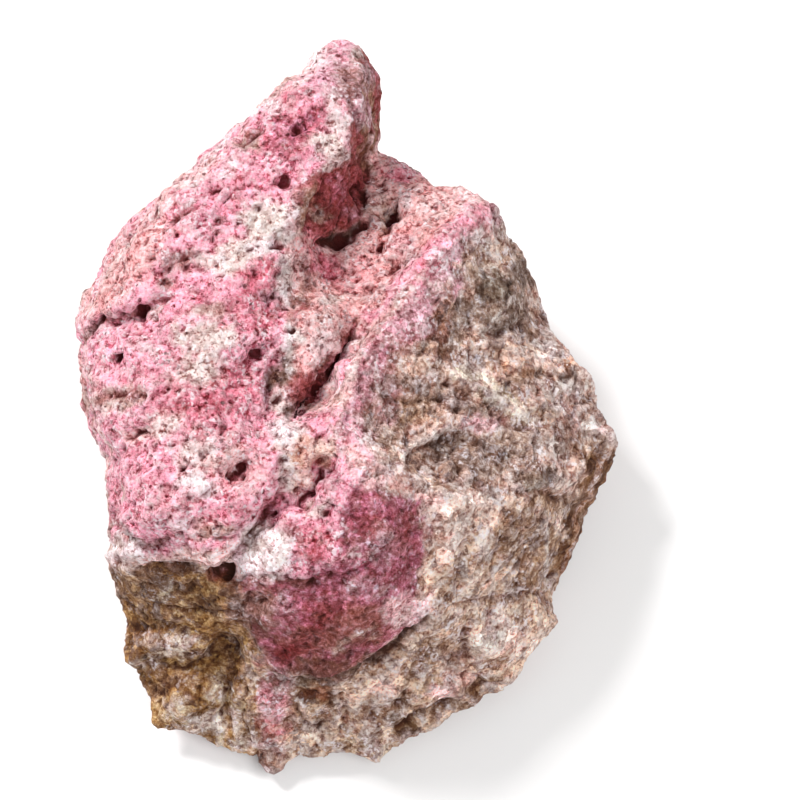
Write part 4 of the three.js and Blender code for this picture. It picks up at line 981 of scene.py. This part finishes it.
def stone_material():
    n = Nodes("thulite")
    porous = n.attribute("porous")
    colour = n.attribute("tint", "Color")
    brightness = n.fill(n.add("ShaderNodeRGBToBW"), Color=colour).outputs[0]
    pallor = n.ramp(brightness, .09, .36, .05, 1.)
    broken = n.ramp(porous, .25, .85, 1., 0.)
    bold = n.product(broken, pallor)

    # Aggregates a millimetre or two across, each with its own shade: bold on the breaks, faint in the crust.
    _, shade = n.crystals(1.7, n.shaken(1.1, 2.2))
    colour = n.varied(n.plus(.30, n.product(broken, .70)), colour, shade[0])
    colour = n.varied(n.product(broken, .45), colour, n.ramp(n.grain(3.4, 4., .6), .42, .58))
    colour = n.mix(n.product(n.ramp(shade[1], .74, .90, 0., .40), bold), colour, rgba("ash"))
    colour = n.mix(n.product(n.ramp(shade[2], .76, .90, 0., .30), bold), colour, rgba("brown"))
    creamy = n.ramp(n.grain(1.9, 5., .65), .51, .60, 0., .48)
    creamy = n.product(creamy, n.product(pallor, n.ramp(porous, .3, .9, 1., .5)))
    colour = n.mix(creamy, colour, rgba("cream"))
    redder = n.product(n.ramp(n.grain(2.3, 5., .65), .52, .62, 0., .60), pallor)
    colour = n.mix(redder, colour, n.times(colour, (.84, .62, .62)))

    # Small crystals. White ones lie in swarms; they are white grains and also painted glints.
    _, shade = n.crystals(.36, n.shaken(.3, .35))
    colour = n.varied(n.plus(.50, n.product(broken, .15)), colour, shade[0])
    swarm = n.product(n.ramp(n.grain(2.4, 3.), .45, .62), pallor)
    white_and_glint = n.mix(.60, n.gamma(colour, .45), rgba("white"))
    colour = n.mix(n.product(n.ramp(shade[1], .70, .80, 0., .85), swarm), colour, white_and_glint)

    # Deep red specks among the granules of the crust.
    speck = n.product(n.ramp(n.grain(1.0, 3., .6), .36, .45, .9, 0.), n.ramp(porous, .3, .9))
    speck = n.product(speck, n.ramp(n.grain(5., 2.), .42, .56, .25, 1.))
    colour = n.mix(speck, colour, n.times(n.gamma(colour, 1.8), (.50, .32, .34)))

    # The sugary surface, following the bump's height: painted shade between the grains,
    # and painted highlight on their pale tops.
    height = n.plus(n.product(n.grain(.86, 6., .74), .72), n.product(n.grain(.28, 3., .60), .28))
    shade_between_grains = n.mix(pallor, n.times(colour, (.56, .40, .29)), n.times(n.gamma(colour, 1.6), (.46, .28, .26)))
    pale = n.mix(pallor, n.times(colour, (1.66, 2.05, 2.45)), n.gamma(colour, .52))
    sunk_shade = n.product(n.ramp(height, .410, .478, .97, 0.), n.ramp(porous, .25, .85, .80, 1.))
    colour = n.mix(sunk_shade, colour, shade_between_grains)
    colour = n.mix(n.ramp(height, .515, .570, 0., .88), colour, pale)

    # Pin holes in the crust, a few in the breaks.
    distance, shade = n.crystals(.80, n.shaken(.35, .55))
    radius = n.math("SUBTRACT", n.product(shade[0], .70), n.ramp(n.grain(2.8), .40, .60, .62, .34))
    pin = n.ramp(n.math("SUBTRACT", radius, distance), -.08, .08)
    pin = n.product(pin, n.ramp(porous, .3, .8, .35, 1.))

    # Pores, pin holes and hollows are darkened, as dirt and as painted shade, and crests are paled, as wear
    # and as painted highlight.
    pores = n.math("MAXIMUM", n.attribute("hollow"), n.product(pin, .85))
    colour = n.mix(pores, colour, n.times(n.gamma(colour, 1.8), (.70, .55, .55)))
    colour = n.mix(n.product(pores, pores, .93), colour, n.mix(porous, DIRT_AND_SHADE_IN_BREAKS, DIRT_AND_SHADE_IN_CRUST))
    worn_and_highlit = n.product(n.attribute("crest"), pallor, .30)
    colour = n.mix(worn_and_highlit, colour, n.mix(.5, colour, rgba("white")))

    n.link(colour, n.shader["Base Color"])
    n.link(n.ramp(n.grain(.8), .3, .7, .62, .88), n.shader["Roughness"])
    n.link(.10, n.shader["Specular IOR Level"])
    bump_height = n.plus(height, n.product(pin, -.25))
    bump = n.fill(n.add("ShaderNodeBump"), Strength=1., Distance=BUMP_HEIGHT * MM, Height=bump_height)
    n.link(bump.outputs[0], n.shader["Normal"])
    return n.material


def floor_material():
    n = Nodes("pale_floor")
    n.link((FLOOR_TONE, FLOOR_TONE, FLOOR_TONE, 1), n.shader["Base Color"])
    n.link(.9, n.shader["Roughness"])
    n.link(.2, n.shader["Specular IOR Level"])
    return n.material


def build_floor():
    mesh = bpy.data.meshes.new("floor")
    corners = [(x * FLOOR_HALF, y * FLOOR_HALF, 0) for x, y in ((-1, -1), (1, -1), (1, 1), (-1, 1))]
    mesh.from_pydata(corners, [], [(0, 1, 2, 3)])
    mesh.materials.append(floor_material())
    floor = add_to_scene("floor", mesh)


def add_camera():
    data = bpy.data.cameras.new("camera")
    data.sensor_width = data.sensor_height = SENSOR
    data.angle = 2 * math.atan(VIEW_HALF_WIDTH / DISTANCE)
    data.clip_start = .01
    camera = add_to_scene("camera", data)
    camera.location = (Vector(AIM) + Vector(SIGHT) * DISTANCE) * MM
    camera.rotation_euler = (math.pi / 2 - ELEVATION, 0, 0)
    bpy.context.scene.camera = camera


def light_scene():
    scene = bpy.context.scene
    scene.view_settings.view_transform = "Standard"
    scene.world = bpy.data.worlds.new("studio")
    scene.world.use_nodes = True
    background = scene.world.node_tree.nodes["Background"].inputs
    background["Color"].default_value = (1, 1, 1, 1)
    background["Strength"].default_value = WORLD_LIGHT
    for name, where, size, energy, colour in LIGHTS:
        data = bpy.data.lights.new(name, "AREA")
        data.size = size
        data.energy = energy
        data.color = colour
        light = add_to_scene(name, data)
        light.location = Vector(where) * MM
        light.rotation_euler = (Vector(AIM) * MM - light.location).to_track_quat("-Z", "Y").to_euler()


stone = build_stone(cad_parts["thulite_rock"])
stone.data.materials.append(stone_material())
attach(stone, "root")
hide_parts("thulite_rock")
build_floor()
add_camera()
light_scene()

bpy.context.view_layer.update()
